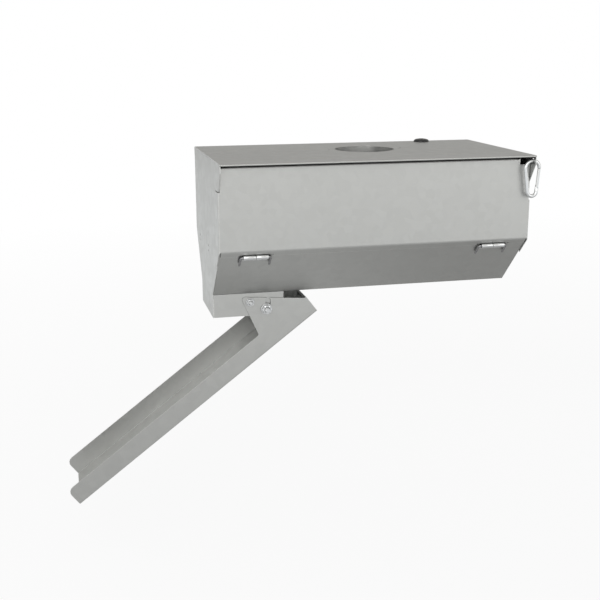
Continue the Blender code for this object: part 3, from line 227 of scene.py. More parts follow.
def lathe(name, profile, start, direction, sides=72, closed=False, sharp=32):
    """A turned piece: point = start + direction * distance + radius * (cos a, sin a) across it.

    profile holds (radius, distance) rows. closed joins the last row to the first, as on a ring.
    """
    along, first, second = across_axes(direction)
    radius, distance = np.asarray(profile, float).T
    angle = np.linspace(0, 2 * np.pi, sides, endpoint=False)
    round_about = np.cos(angle)[:, None] * first + np.sin(angle)[:, None] * second
    grid = np.asarray(start) + distance[:, None, None] * along + radius[:, None, None] * round_about
    return skin(name, grid, along_closed=closed, capped=not closed, sharp=sharp)


def wire(name, path, normal, radius, sides=28, flatten=None):
    """A wire along a flat path: each ring is point + radius * (cos a * side + sin a * normal).

    side is the path plane's normal crossed with the path's direction. radius may change along
    the path, and flatten scales each ring along the normal.
    """
    path = np.asarray(path, float)
    normal = np.asarray(normal, float) / np.linalg.norm(normal)
    direction = np.gradient(path, axis=0)
    direction /= np.linalg.norm(direction, axis=1, keepdims=True)
    side = np.cross(normal, direction)
    radius = np.broadcast_to(radius, len(path))
    flatten = np.ones(len(path)) if flatten is None else flatten
    angle = np.linspace(0, 2 * np.pi, sides, endpoint=False)
    grid = (
        path[:, None]
        + (radius[:, None] * np.cos(angle))[..., None] * side[:, None]
        + ((radius * flatten)[:, None] * np.sin(angle))[..., None] * normal
    )
    return skin(name, grid)


def squared_ring(angle, a, b, power):
    """The two coordinates of |x / a|^p + |y / b|^p = 1, at each angle from its middle."""
    c, s = np.cos(angle), np.sin(angle)
    reach = (np.abs(c / a) ** power + np.abs(s / b) ** power) ** (-1 / power)
    return reach * c, reach * s


def settle(piece, finish, body, slot, *nodes):
    """Gives a piece its finish and its body, and stands it in for the frame's nodes. slot is not
    used.
    """
    piece.data.materials.append(bpy.data.materials[finish])
    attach(piece, body)
    if nodes:
        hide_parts(*nodes)
    return piece


# ---------------------------------------------------------------- shader helpers
def new_group(name, inputs, outputs):
    """An empty node group with float inputs (name, default) and outputs (name, socket type)."""
    group = bpy.data.node_groups.new(name, "ShaderNodeTree")
    for label, value in inputs:
        made = group.interface.new_socket(label, in_out="INPUT", socket_type="NodeSocketFloat")
        made.default_value = value
    for label, kind in outputs:
        group.interface.new_socket(label, in_out="OUTPUT", socket_type=kind)
    return group, group.nodes.new("NodeGroupInput"), group.nodes.new("NodeGroupOutput")


def math_node(tree, operation, first, second=None):
    """The result of a maths node on two sockets or numbers."""
    node = tree.nodes.new("ShaderNodeMath")
    node.operation = operation
    for place, value in enumerate((first, second)):
        if value is None:
            continue
        if isinstance(value, (int, float)):
            node.inputs[place].default_value = value
        else:
            tree.links.new(value, node.inputs[place])
    return node.outputs[0]


def spread(tree, value, low, high, to_low, to_high):
    """Maps a value from one range to another, clamped."""
    node = tree.nodes.new("ShaderNodeMapRange")
    tree.links.new(value, node.inputs["Value"])
    for label, number in (
        ("From Min", low), ("From Max", high), ("To Min", to_low), ("To Max", to_high)
    ):
        node.inputs[label].default_value = number
    return node.outputs["Result"]


def send_tone(group, value, given, out):
    """Sends 1 + (value - 0.5) * Strength to a group's Tone."""
    swing = math_node(group, "SUBTRACT", value, 0.5)
    tone = math_node(group, "MULTIPLY", swing, given.outputs["Strength"])
    group.links.new(math_node(group, "ADD", tone, 1.0), out.inputs["Tone"])


def build_spangle():
    """Zinc crystals on galvanised sheet: each Voronoi cell has its own slight tone."""
    group, given, out = new_group(
        "Zinc spangle", [("Cells per metre", 95), ("Strength", 0.06)],
        [("Tone", "NodeSocketFloat"), ("Height", "NodeSocketFloat")],
    )
    place = group.nodes.new("ShaderNodeTexCoord").outputs["Object"]
    bend = group.nodes.new("ShaderNodeTexNoise")
    bend.inputs["Scale"].default_value = 60
    group.links.new(place, bend.inputs["Vector"])
    pushed = group.nodes.new("ShaderNodeVectorMath")
    pushed.operation = "MULTIPLY_ADD"
    group.links.new(bend.outputs["Color"], pushed.inputs[0])
    pushed.inputs[1].default_value = (0.006, 0.006, 0.006)
    group.links.new(place, pushed.inputs[2])
    cells = group.nodes.new("ShaderNodeTexVoronoi")
    group.links.new(pushed.outputs[0], cells.inputs["Vector"])
    group.links.new(given.outputs["Cells per metre"], cells.inputs["Scale"])
    split = group.nodes.new("ShaderNodeSeparateColor")
    group.links.new(cells.outputs["Color"], split.inputs["Color"])
    send_tone(group, split.outputs[0], given, out)
    group.links.new(split.outputs[1], out.inputs["Height"])
    return group


def build_rolling():
    """Fine rolling marks along X: noise squeezed hard across the sheet and stretched along it."""
    group, given, out = new_group(
        "Rolling marks", [("Strength", 0.05)],
        [("Tone", "NodeSocketFloat"), ("Height", "NodeSocketFloat")],
    )
    place = group.nodes.new("ShaderNodeTexCoord").outputs["Object"]
    stretch = group.nodes.new("ShaderNodeMapping")
    stretch.inputs["Scale"].default_value = (9, 900, 900)
    group.links.new(place, stretch.inputs["Vector"])
    marks = group.nodes.new("ShaderNodeTexNoise")
    marks.inputs["Scale"].default_value = 1
    marks.inputs["Detail"].default_value = 3
    group.links.new(stretch.outputs[0], marks.inputs["Vector"])
    send_tone(group, marks.outputs["Fac"], given, out)
    group.links.new(marks.outputs["Fac"], out.inputs["Height"])
    return group


def build_edges():
    """Mask of edges, for their painted highlight and their wear: how far a rounded normal turns
    from the true one.
    """
    group, given, out = new_group(
        "Edge highlight and wear", [("Radius", 1.2 * MM)], [("Mask", "NodeSocketFloat")]
    )
    rounded = group.nodes.new("ShaderNodeBevel")
    rounded.samples = 4
    group.links.new(given.outputs["Radius"], rounded.inputs["Radius"])
    true = group.nodes.new("ShaderNodeNewGeometry").outputs["True Normal"]
    dot = group.nodes.new("ShaderNodeVectorMath")
    dot.operation = "DOT_PRODUCT"
    group.links.new(rounded.outputs[0], dot.inputs[0])
    group.links.new(true, dot.inputs[1])
    group.links.new(spread(group, dot.outputs["Value"], 0.995, 0.80, 0, 1), out.inputs["Mask"])
    return group


def build_crevice_shade_mask():
    """Mask of painted shade in small holes and tight corners, where little light gets in."""
    group, given, out = new_group(
        "Painted crevice shade", [("Reach", 5 * MM)], [("Mask", "NodeSocketFloat")]
    )
    open_share = group.nodes.new("ShaderNodeAmbientOcclusion")
    open_share.samples = 8
    group.links.new(given.outputs["Reach"], open_share.inputs["Distance"])
    group.links.new(spread(group, open_share.outputs["AO"], 0.40, 0.68, 1, 0), out.inputs["Mask"])
    return group


def build_patina():
    """Broad soft patches, as handling and weather leave on metal."""
    group, given, out = new_group(
        "Soft patches", [("Scale", 9), ("Strength", 0.06)], [("Tone", "NodeSocketFloat")]
    )
    place = group.nodes.new("ShaderNodeTexCoord").outputs["Object"]
    cloud = group.nodes.new("ShaderNodeTexNoise")
    cloud.inputs["Detail"].default_value = 5
    group.links.new(place, cloud.inputs["Vector"])
    group.links.new(given.outputs["Scale"], cloud.inputs["Scale"])
    send_tone(group, cloud.outputs["Fac"], given, out)
    return group


def place_group(tree, name, **values):
    """A node group placed in a material, with its inputs set by name."""
    node = tree.nodes.new("ShaderNodeGroup")
    node.node_tree = bpy.data.node_groups[name]
    for label, value in values.items():
        node.inputs[label.replace("_", " ")].default_value = value
    return node


def tinted(tree, color, tone):
    """The colour times a tone that changes over the surface."""
    mix = tree.nodes.new("ShaderNodeMix")
    mix.data_type = "RGBA"
    mix.blend_type = "MULTIPLY"
    mix.inputs["Factor"].default_value = 1
    mix.inputs["A"].default_value = (*color, 1)
    grey = tree.nodes.new("ShaderNodeCombineColor")
    for channel in range(3):
        tree.links.new(tone, grey.inputs[channel])
    tree.links.new(grey.outputs[0], mix.inputs["B"])
    return mix.outputs["Result"]


def start_material(name, metallic, roughness):
    """A new material's node tree and its Principled node."""
    made = bpy.data.materials.new(name)
    made.use_nodes = True
    shader = made.node_tree.nodes["Principled BSDF"]
    shader.inputs["Metallic"].default_value = metallic
    shader.inputs["Roughness"].default_value = roughness
    return made.node_tree, shader


def roughen(tree, shader, height, distance):
    """Fine relief from a height. distance is its depth at full strength."""
    bump = tree.nodes.new("ShaderNodeBump")
    bump.inputs["Distance"].default_value = distance
    bump.inputs["Strength"].default_value = 0.3
    tree.links.new(height, bump.inputs["Height"])
    tree.links.new(bump.outputs[0], shader.inputs["Normal"])


def sheet_metal(name, color, roughness, metallic, cells, spangle, rolling, edge):
    """Galvanised or plated metal: crystals, rolling marks, soft patches, a painted highlight on
    edges and painted shade in tight corners.

    cells is the number of crystals in a metre, spangle and rolling are how far the tone swings,
    and edge is how much lighter the painted highlight makes an edge.
    """
    tree, shader = start_material(name, metallic, roughness)
    crystals = place_group(tree, "Zinc spangle", Cells_per_metre=cells, Strength=spangle)
    marks = place_group(tree, "Rolling marks", Strength=rolling)
    patches = place_group(tree, "Soft patches", Scale=7, Strength=0.025)
    edges = place_group(tree, "Edge highlight and wear", Radius=1.1 * MM)
    tone = math_node(tree, "MULTIPLY", crystals.outputs["Tone"], marks.outputs["Tone"])
    tone = math_node(tree, "MULTIPLY", tone, patches.outputs["Tone"])
    # Painted highlight: the tone is raised along rounded edges.
    painted_edge_lift = math_node(tree, "MULTIPLY", edges.outputs["Mask"], edge)
    tone = math_node(tree, "ADD", tone, painted_edge_lift)
    # Painted shade: the tone is darkened, down to 0.12, in small holes, seams and tight corners.
    shade_in_crevices = place_group(tree, "Painted crevice shade", Reach=5 * MM)
    unshaded_share = spread(tree, shade_in_crevices.outputs["Mask"], 0, 1, 1, 0.12)
    tone = math_node(tree, "MULTIPLY", tone, unshaded_share)
    tree.links.new(tinted(tree, color, tone), shader.inputs["Base Color"])
    swing = spread(
        tree, crystals.outputs["Height"], 0, 1, roughness - 0.05, roughness + 0.05
    )
    worn = math_node(tree, "MULTIPLY", edges.outputs["Mask"], 0.12)
    tree.links.new(math_node(tree, "SUBTRACT", swing, worn), shader.inputs["Roughness"])
    roughen(tree, shader, marks.outputs["Height"], 0.00003)


def moulded(name, color, roughness, grain, bump):
    """Moulded plastic or rubber: fine grain in its roughness and its relief, and soft patches in
    its tone.
    """
    tree, shader = start_material(name, 0, roughness)
    place = tree.nodes.new("ShaderNodeTexCoord").outputs["Object"]
    fine = tree.nodes.new("ShaderNodeTexNoise")
    fine.inputs["Scale"].default_value = grain
    fine.inputs["Detail"].default_value = 2
    tree.links.new(place, fine.inputs["Vector"])
    patches = place_group(tree, "Soft patches", Scale=22, Strength=0.12)
    edges = place_group(tree, "Edge highlight and wear", Radius=0.8 * MM)
    # Painted highlight: the tone is raised along rounded edges.
    painted_edge_lift = math_node(tree, "MULTIPLY", edges.outputs["Mask"], 0.35)
    tone = math_node(tree, "ADD", patches.outputs["Tone"], painted_edge_lift)
    tree.links.new(tinted(tree, color, tone), shader.inputs["Base Color"])
    tree.links.new(
        spread(tree, fine.outputs["Fac"], 0.3, 0.7, roughness - 0.07, roughness + 0.07),
        shader.inputs["Roughness"],
    )
    roughen(tree, shader, fine.outputs["Fac"], bump)


FINISH_OF_SLOT = {
    "galvanised_sheet": "galvanised", "zinc_plate": "bright zinc", "auger_steel": "auger steel",
    "black_rubber": "black rubber", "black_plastic": "black plastic",
    "grey_plastic": "grey plastic", "button_plastic": "button plastic",
    "screen": "display", "nylon": "nylon", "brass": "brass",
}


class FEEDER_OT_finishes(Operator):
    """Build every finish and give it to the frame's solids"""

    bl_idname = "feeder.finishes"
    bl_label = "Finishes"

    def execute(self, context):
        colours = context.scene.feeder_colours
        build_spangle()
        build_rolling()
        build_edges()
        build_crevice_shade_mask()
        build_patina()
        # The last number of each metal sets its painted edge highlight.
        sheet_metal("galvanised", colours.galvanised, 0.40, 0.85, 95, 0.04, 0.03, 0.62)
        sheet_metal("bright zinc", colours.zinc, 0.20, 1.0, 600, 0.05, 0.03, 0.15)
        sheet_metal("auger steel", (0.46, 0.46, 0.47), 0.34, 1.0, 300, 0.05, 0.06, 0.30)
        # The hinge pins take a darker copy of the zinc: painted shade for the dark they sit in.
        sheet_metal("pin zinc with painted shade", (0.34, 0.34, 0.35), 0.30, 1.0, 500, 0.05, 0.03, 0.12)
        sheet_metal("brass", (0.72, 0.53, 0.24), 0.30, 1.0, 500, 0.05, 0.04, 0.20)
        moulded("black rubber", colours.rubber, 0.10, 900, 0.00001)
        moulded("black plastic", (0.028, 0.029, 0.031), 0.45, 1400, 0.00006)
        moulded("grey plastic", (0.50, 0.51, 0.51), 0.50, 1600, 0.00005)
        moulded("button plastic", (0.08, 0.14, 0.29), 0.42, 1200, 0.00003)
        moulded("display", (0.34, 0.40, 0.28), 0.14, 400, 0.000005)
        moulded("nylon", (0.80, 0.79, 0.72), 0.42, 700, 0.00002)
        slots = {s["node"]: s["material_slot"] for s in frame["record"]["subparts"]}
        for name, solid in frame["nodes"].items():
            solid.data.materials.clear()
            solid.data.materials.append(bpy.data.materials[FINISH_OF_SLOT[slots[name]]])
        return {"FINISHED"}


# ---------------------------------------------------------------- carabiner
class FEEDER_OT_carabiner(Operator):
    """Draw the spring carabiner as smooth wire"""

    bl_idname = "feeder.carabiner"
    bl_label = "Carabiner"

    def execute(self, context):
        radius = context.scene.feeder_sizes.wire_radius
        low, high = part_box("carabiner_hook")
        plane_y = (low.y + high.y) / 2
        top_radius, foot_radius = 11.1 * MM, 7.2 * MM
        top = np.array([CARABINER_X, high.z - radius - top_radius])
        foot = np.array([top[0] + 1.0 * MM, low.z + radius + foot_radius])
        up = (top - foot) / np.linalg.norm(top - foot)
        right = np.array([up[1], -up[0]])
        narrow = (top_radius - foot_radius) / np.linalg.norm(top - foot)
        level = np.sqrt(1 - narrow**2)
        to_gate, to_leg = right * level - up * narrow, -right * level - up * narrow
        start = np.arctan2(to_gate[1], to_gate[0])
        end = np.arctan2(to_leg[1], to_leg[0]) % (2 * np.pi)
        bow, curl = np.linspace(start, end, 72), np.linspace(end, start + 2 * np.pi, 48)

        def bend(centre, size, angle):
            return centre + size * np.stack([np.cos(angle), np.sin(angle)], -1)

        gate_foot, gate_top = foot + to_gate * foot_radius, top + to_gate * top_radius
        leg = (gate_top - gate_foot) / np.linalg.norm(gate_top - gate_foot)
        tongue_rows = 14
        tongue = gate_foot + leg * np.linspace(1.0 * MM, 8.6 * MM, tongue_rows)[:, None]
        path = np.concatenate([bend(top, top_radius, bow), bend(foot, foot_radius, curl), tongue])
        flatten = np.ones(len(path))
        flatten[-tongue_rows:] = np.linspace(1, 0.36, tongue_rows) ** 0.6
        sized = np.full(len(path), radius)
        sized[:4] *= (0.72, 0.90, 0.97, 1)
        sized[-3:] *= (0.95, 0.85, 0.6)
        space = np.insert(path, 1, plane_y, axis=1)
        hook = wire("carabiner_wire", space, (0, 1, 0), sized, flatten=flatten)
        settle(hook, "bright zinc", "carabiner", "zinc_plate", "carabiner_hook")
        return {"FINISHED"}


# ---------------------------------------------------------------- hinges
class FEEDER_OT_hinges(Operator):
    """Draw the hinge barrels, their bent pins and their rivets"""

    bl_idname = "feeder.hinges"
    bl_label = "Hinges"

    def execute(self, context):
        axis = SILL + SLOPE * HINGE_DOWN_SLOPE + SLOPE_OUT * HINGE_RISE
        for side in ("left", "right"):
            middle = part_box(f"{side}_hinge_leaf")[0].x + HINGE_HALF
            self.barrel(f"{side}_hinge_fixed_barrel", (middle, *axis), -1, "housing")
            self.barrel(f"{side}_hinge_door_barrel", (middle, *axis), 1, "door")
            self.pin(f"{side}_hinge_pin", middle)
            for number in (1, 2):
                self.rivet(f"{side}_hinge_rivet_{number}")
        return {"FINISHED"}

    def barrel(self, name, middle, way, body):
        """The smooth outside of a rolled knuckle: a thin ring with its two rims rounded."""
        inner, outer, rim = 3.22 * MM, 3.7 * MM, 0.4 * MM
        near, far = 1.1 * MM, HINGE_HALF  # the two knuckles of a barrel leave a gap at its middle
        profile = [
            (inner, near), (outer - rim, near), (outer - rim / 4, near + rim / 3),
            (outer, near + rim), (outer, far - rim), (outer - rim / 4, far - rim / 3),
            (outer - rim, far), (inner, far),
        ]
        ring = lathe(name, profile, middle, (way, 0, 0), sides=64, closed=True, sharp=50)
        settle(ring, "bright zinc", body, "zinc_plate")

    def pin(self, node, middle):
        """A wire with both ends bent down the slope: straight legs joined by quarter circles."""
        reach, leg, bend, radius = HINGE_HALF + 4 * MM, 20 * MM, 3.7 * MM, 1.7 * MM
        turn = np.linspace(0, np.pi / 2, 12)
        across = np.concatenate([[-reach, -reach], -reach + bend * (1 - np.cos(turn[1:]))])
        down = np.concatenate([[leg, bend + 4 * MM], bend * (1 - np.sin(turn[1:]))])
        down = np.concatenate([down, down[::-1]])
        across = np.concatenate([across, -across[::-1]])
        spread_out = np.linspace(0, len(across) - 1, 8 * len(across))
        across = np.interp(spread_out, np.arange(len(across)), across)
        down = np.interp(spread_out, np.arange(len(down)), down)
        yz = SILL + SLOPE * (HINGE_DOWN_SLOPE + down)[:, None] + SLOPE_OUT * HINGE_RISE
        path = np.column_stack([middle + across, yz])
        sized = np.full(len(path), radius)
        sized[[0, -1]], sized[[1, -2]] = 0.75 * radius, 0.93 * radius
        piece = wire(f"{node}_bent", path, OUTWARD, sized, sides=20)
        # Painted shade: the pin is given a darker copy of the zinc finish.
        settle(piece, "pin zinc with painted shade", "housing", "zinc_plate", node)

    def rivet(self, node):
        """A low dome, radius R * cos t at height H * sin t, with the drawn mandrel's dimple."""
        low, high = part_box(node)
        yz = SILL + SLOPE * RIVET_DOWN_SLOPE
        turn = np.linspace(0, np.pi / 2, 14)[:-4]
        wide, tall, shank, bulb = 3.2 * MM, 1.1 * MM, 1.6 * MM, 2.4 * MM
        head = [(wide * np.cos(t), RIVET_SEAT + tall * np.sin(t)) for t in turn]
        dimple = [(0.9 * MM, RIVET_SEAT + 1.05 * MM), (0.8 * MM, RIVET_SEAT + 0.5 * MM)]
        tail = [(bulb, -2.7 * MM), (bulb, -1.5 * MM), (shank, -1.5 * MM), (shank, RIVET_SEAT)]
        place = ((low.x + high.x) / 2, yz[0], yz[1])
        piece = lathe(f"{node}_domed", tail + head + dimple, place, OUTWARD, sides=40)
        settle(piece, "bright zinc", "housing", "zinc_plate", node)


# ---------------------------------------------------------------- chute bolts
def hexagon_reach(angle, flats):
    """Distance from a hexagon's centre to its edge: half its flats over cos of the angle to one."""
    return flats / 2 / np.cos((angle % (np.pi / 3)) - np.pi / 6)


def hex_rows(rows, angle, flats):
    """Rings of (limit, distance): the hexagon's edge, cut back to the limit as by a chamfer."""
    edge = hexagon_reach(angle, flats)
    return [(np.minimum(edge, limit), distance) for limit, distance in rows]


def stacked(name, rows, centre, side, angle, closed=False):
    """A piece along Y from rings of (radius at each angle, y distance from the centre plane)."""
    radius = np.stack([np.broadcast_to(r, len(angle)) for r, _ in rows])
    distance = np.array([d for _, d in rows]) * side
    grid = np.stack(
        [
            centre[0] + radius * np.cos(angle),
            np.broadcast_to(distance[:, None], radius.shape),
            centre[1] + radius * np.sin(angle),
        ],
        -1,
    )
    return skin(name, grid, along_closed=closed, capped=not closed, sharp=28)


class FEEDER_OT_chute_bolts(Operator):
    """Draw the chute's threaded bolts, chamfered nuts and washers"""

    bl_idname = "feeder.chute_bolts"
    bl_label = "Chute bolts"

    def execute(self, context):
        for group, radius, pitch in (("pivot", 3 * MM, 1.0 * MM), ("lock", 4 * MM, 1.25 * MM)):
            for place, side in (("front", -1), ("back", 1)):
                self.fastener(f"{group}_{place}", radius, pitch, side)
        return {"FINISHED"}

    def fastener(self, stem, radius, pitch, side):
        """A nut, a washer and a bolt on one axis.

        The thread's radius is R minus a triangle wave of y / pitch - angle / turn.
        """
        angle = np.linspace(0, 2 * np.pi, 72, endpoint=False)
        low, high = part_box(f"{stem}_nut")
        centre = ((low.x + high.x) / 2, (low.z + high.z) / 2)
        flats = high.z - low.z
        near, far = sorted((abs(low.y), abs(high.y)))
        face = 0.49 * flats  # radius of the round face inside a nut's or a head's chamfer
        bore, bevel = radius + 0.2 * MM, 0.5 * MM
        rows = [(bore, near)] + hex_rows([(face, near), (flats, near + bevel)], angle, flats)
        rows += hex_rows([(flats, far - bevel), (face, far)], angle, flats)
        rows += [(bore + bevel, far), (bore, far - bevel)]
        nut = stacked(f"{stem}_nut_chamfered", rows, centre, side, angle, closed=True)
        settle(nut, "bright zinc", "housing", "zinc_plate", f"{stem}_nut")

        low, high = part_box(f"{stem}_washer")
        outer = (high.z - low.z) / 2
        near, far = sorted((abs(low.y), abs(high.y)))
        edge = 0.2 * MM
        ring = [(bore, near), (outer - edge, near), (outer, near + edge)]
        ring += [(outer, far - edge), (outer - edge, far), (bore, far)]
        washer = stacked(f"{stem}_washer_round", ring, centre, side, angle, closed=True)
        settle(washer, "bright zinc", "housing", "zinc_plate", f"{stem}_washer")

        low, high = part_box(f"{stem}_bolt")
        head_far, tip = sorted((abs(low.y), abs(high.y)))
        seat = head_far + 1.25 * radius
        rows = hex_rows([(face, head_far), (flats, head_far + bevel)], angle, flats)
        rows += hex_rows([(flats, seat)], angle, flats) + [(radius, seat)]
        depth = 0.55 * pitch
        for y in np.arange(seat + pitch, tip - 0.6 * MM, pitch / 8):
            wave = 2 * np.abs((y / pitch - angle / (2 * np.pi)) % 1 - 0.5)
            rows.append((radius - depth * wave, y))
        rows += [(radius - depth, tip - 0.3 * MM), (radius - depth - 0.3 * MM, tip)]
        bolt = stacked(f"{stem}_bolt_threaded", rows, centre, side, angle)
        settle(bolt, "bright zinc", "housing", "zinc_plate", f"{stem}_bolt")


# ---------------------------------------------------------------- funnel, grommet and auger
class FEEDER_OT_funnel(Operator):
    """Draw the inlet funnel as one smooth drawn sheet"""

    bl_idname = "feeder.funnel"
    bl_label = "Inlet funnel"

    def execute(self, context):
        low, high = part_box("inlet_funnel")
        length, width = FUNNEL_HALF_LENGTH - SHEET, FUNNEL_HALF_WIDTH - SHEET
        flange, top, bottom = (high.x - low.x) / 2, high.z, low.z
        angle = np.linspace(0, 2 * np.pi, 144, endpoint=False)

        def ring(half_x, half_y, power, z):
            x, y = squared_ring(angle, half_x, half_y, power)
            return np.stack([x, y, np.full_like(angle, z)], -1)

        def wall(offset, start):
            """Round at the top, squared at the foot: a, b and p ease by t * t * (3 - 2 * t)."""
            rows = []
            for level in np.linspace(0, 1, 31):
                ease = level * level * (3 - 2 * level)
                half_x = INLET_THROAT + (length - INLET_THROAT) * ease
                half_y = INLET_THROAT + (width - INLET_THROAT) * ease
                z = start + (bottom - start) * level
                rows.append(ring(half_x + offset, half_y + offset, 2 + 6 * ease, z))
            return rows

        rows = [ring(flange, flange, 2, top)] + wall(0, top)
        rows += wall(SHEET, top - SHEET)[::-1] + [ring(flange, flange, 2, top - SHEET)]
        funnel = skin("inlet_funnel_drawn", np.stack(rows), along_closed=True, sharp=40)
        for side in (-1, 1):
            profile = [(BOLT_HOLE, -3 * MM), (BOLT_HOLE, 3 * MM)]
            place = (side * BOLT_PLACE, 0, top - SHEET / 2)
            bore = lathe("bore", profile, place, (0, 0, 1), sides=30)
            cut = funnel.modifiers.new("bore", "BOOLEAN")
            cut.operation, cut.solver, cut.object = "DIFFERENCE", "EXACT", bore
            graph = context.evaluated_depsgraph_get()
            funnel.data = bpy.data.meshes.new_from_object(funnel.evaluated_get(graph))
            funnel.modifiers.clear()
            bpy.data.objects.remove(bore)
        settle(funnel, "galvanised", "housing", "galvanised_sheet", "inlet_funnel")
        return {"FINISHED"}


class FEEDER_OT_grommet(Operator):
    """Draw the rubber cable grommet"""

    bl_idname = "feeder.grommet"
    bl_label = "Cable grommet"

    def execute(self, context):
        low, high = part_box("cable_grommet")
        place = ((low.x + high.x) / 2, (low.y + high.y) / 2, 0)
        outer, bore, top = (high.x - low.x) / 2, 4.0 * MM, high.z
        waist, under = 9.2 * MM, -1.5 * MM
        turn = np.linspace(0, np.pi / 2, 12)
        rise, run = top - 0.9 * MM, outer - bore - 1 * MM
        dome = [(outer - run * (1 - np.cos(t)), 0.9 * MM + rise * np.sin(t)) for t in turn]
        lip = [(bore + 0.4 * MM, top - 0.3 * MM), (bore, top - 1 * MM), (bore, low.z + 0.5 * MM)]
        foot = [(bore + 0.5 * MM, low.z), (outer - 3 * MM, low.z), (outer - 1.6 * MM, under)]
        profile = [(outer - 0.3 * MM, 0.3 * MM), (outer, 0.6 * MM)] + dome + lip + foot
        profile += [(waist, under), (waist, 0.3 * MM)]
        ring = lathe(
            "cable_grommet_moulded", profile, place, (0, 0, 1), sides=96, closed=True, sharp=50
        )
        settle(ring, "black rubber", "housing", "black_rubber", "cable_grommet")
        return {"FINISHED"}


class FEEDER_OT_auger(Operator):
    """Draw the auger's shaft and its helical flight"""

    bl_idname = "feeder.auger"
    bl_label = "Auger"

    def execute(self, context):
        sizes = context.scene.feeder_sizes
        low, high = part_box("auger_screw")
        start, finish = HOUSING_LEFT + FLIGHT_START, HOUSING_LEFT + FLIGHT_FINISH
        turns = (finish - start) / sizes.auger_pitch
        along = np.linspace(0, 1, int(turns * 48))
        angle = 2 * np.pi * turns * along
        root, tip = 5.2 * MM, sizes.auger_radius
        reach = np.array([root, (root + tip) / 2, tip - 1 * MM, tip])
        reach = np.concatenate([reach, reach[::-1]])
        shift = np.array([-1.25, -1.15, -1.05, -0.6, 0.6, 1.05, 1.15, 1.25]) * MM
        grid = np.stack(
            [
                start + (finish - start) * along[:, None] + shift,
                reach * np.cos(angle)[:, None],
                AUGER_Z + reach * np.sin(angle)[:, None],
            ],
            -1,
        )
        flight = skin("auger_flight", grid, sharp=40)
        settle(flight, "auger steel", "auger", "auger_steel", "auger_screw")
        shaft_radius, bevel, long = 6 * MM, 0.8 * MM, high.x - low.x
        ends = [
            (shaft_radius - bevel, 0), (shaft_radius, bevel),
            (shaft_radius, long - bevel), (shaft_radius - bevel, long),
        ]
        shaft = lathe("auger_shaft", ends, (low.x, 0, AUGER_Z), (1, 0, 0), sides=64)
        settle(shaft, "auger steel", "auger", "auger_steel")
        return {"FINISHED"}


# ---------------------------------------------------------------- battery
class FEEDER_OT_battery(Operator):
    """Draw the battery's case with its lid seam"""

    bl_idname = "feeder.battery"
    bl_label = "Battery"

    def execute(self, context):
        low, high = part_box("battery_case")
        half = np.array([high.x - low.x, high.y - low.y]) / 2
        middle = np.array([high.x + low.x, high.y + low.y]) / 2
        tall = high.z - low.z
        seam = low.z + 0.80 * tall
        rows = [
            (1.2, low.z), (0, low.z + 1.2 * MM), (0, seam - 0.6 * MM), (0.9, seam - 0.3 * MM),
            (0.9, seam + 0.3 * MM), (0, seam + 0.6 * MM), (0, high.z - 1.4 * MM),
            (0.5, high.z - 0.4 * MM), (1.4, high.z),
        ]
        angle = np.linspace(0, 2 * np.pi, 96, endpoint=False)
        grid = []
        for inset, height in rows:
            x, y = squared_ring(angle, *(half - inset * MM), 14)
            grid.append(np.stack([middle[0] + x, middle[1] + y, np.full_like(x, height)], -1))
        case = skin("battery_case_moulded", np.stack(grid), sharp=30)
        settle(case, "black plastic", "housing", "black_plastic", "battery_case")
        return {"FINISHED"}


# ---------------------------------------------------------------- timer
SEGMENTS = {  # lit bars of each sign, as (x, z, is upright) in units of half a digit's height
    "1": [(0.5, 0.5, 1), (0.5, -0.5, 1)],
    "2": [(0, 1, 0), (0.5, 0.5, 1), (0, 0, 0), (-0.5, -0.5, 1), (0, -1, 0)],
    "0": [(0, 1, 0), (0.5, 0.5, 1), (0.5, -0.5, 1), (0, -1, 0), (-0.5, -0.5, 1), (-0.5, 0.5, 1)],
}


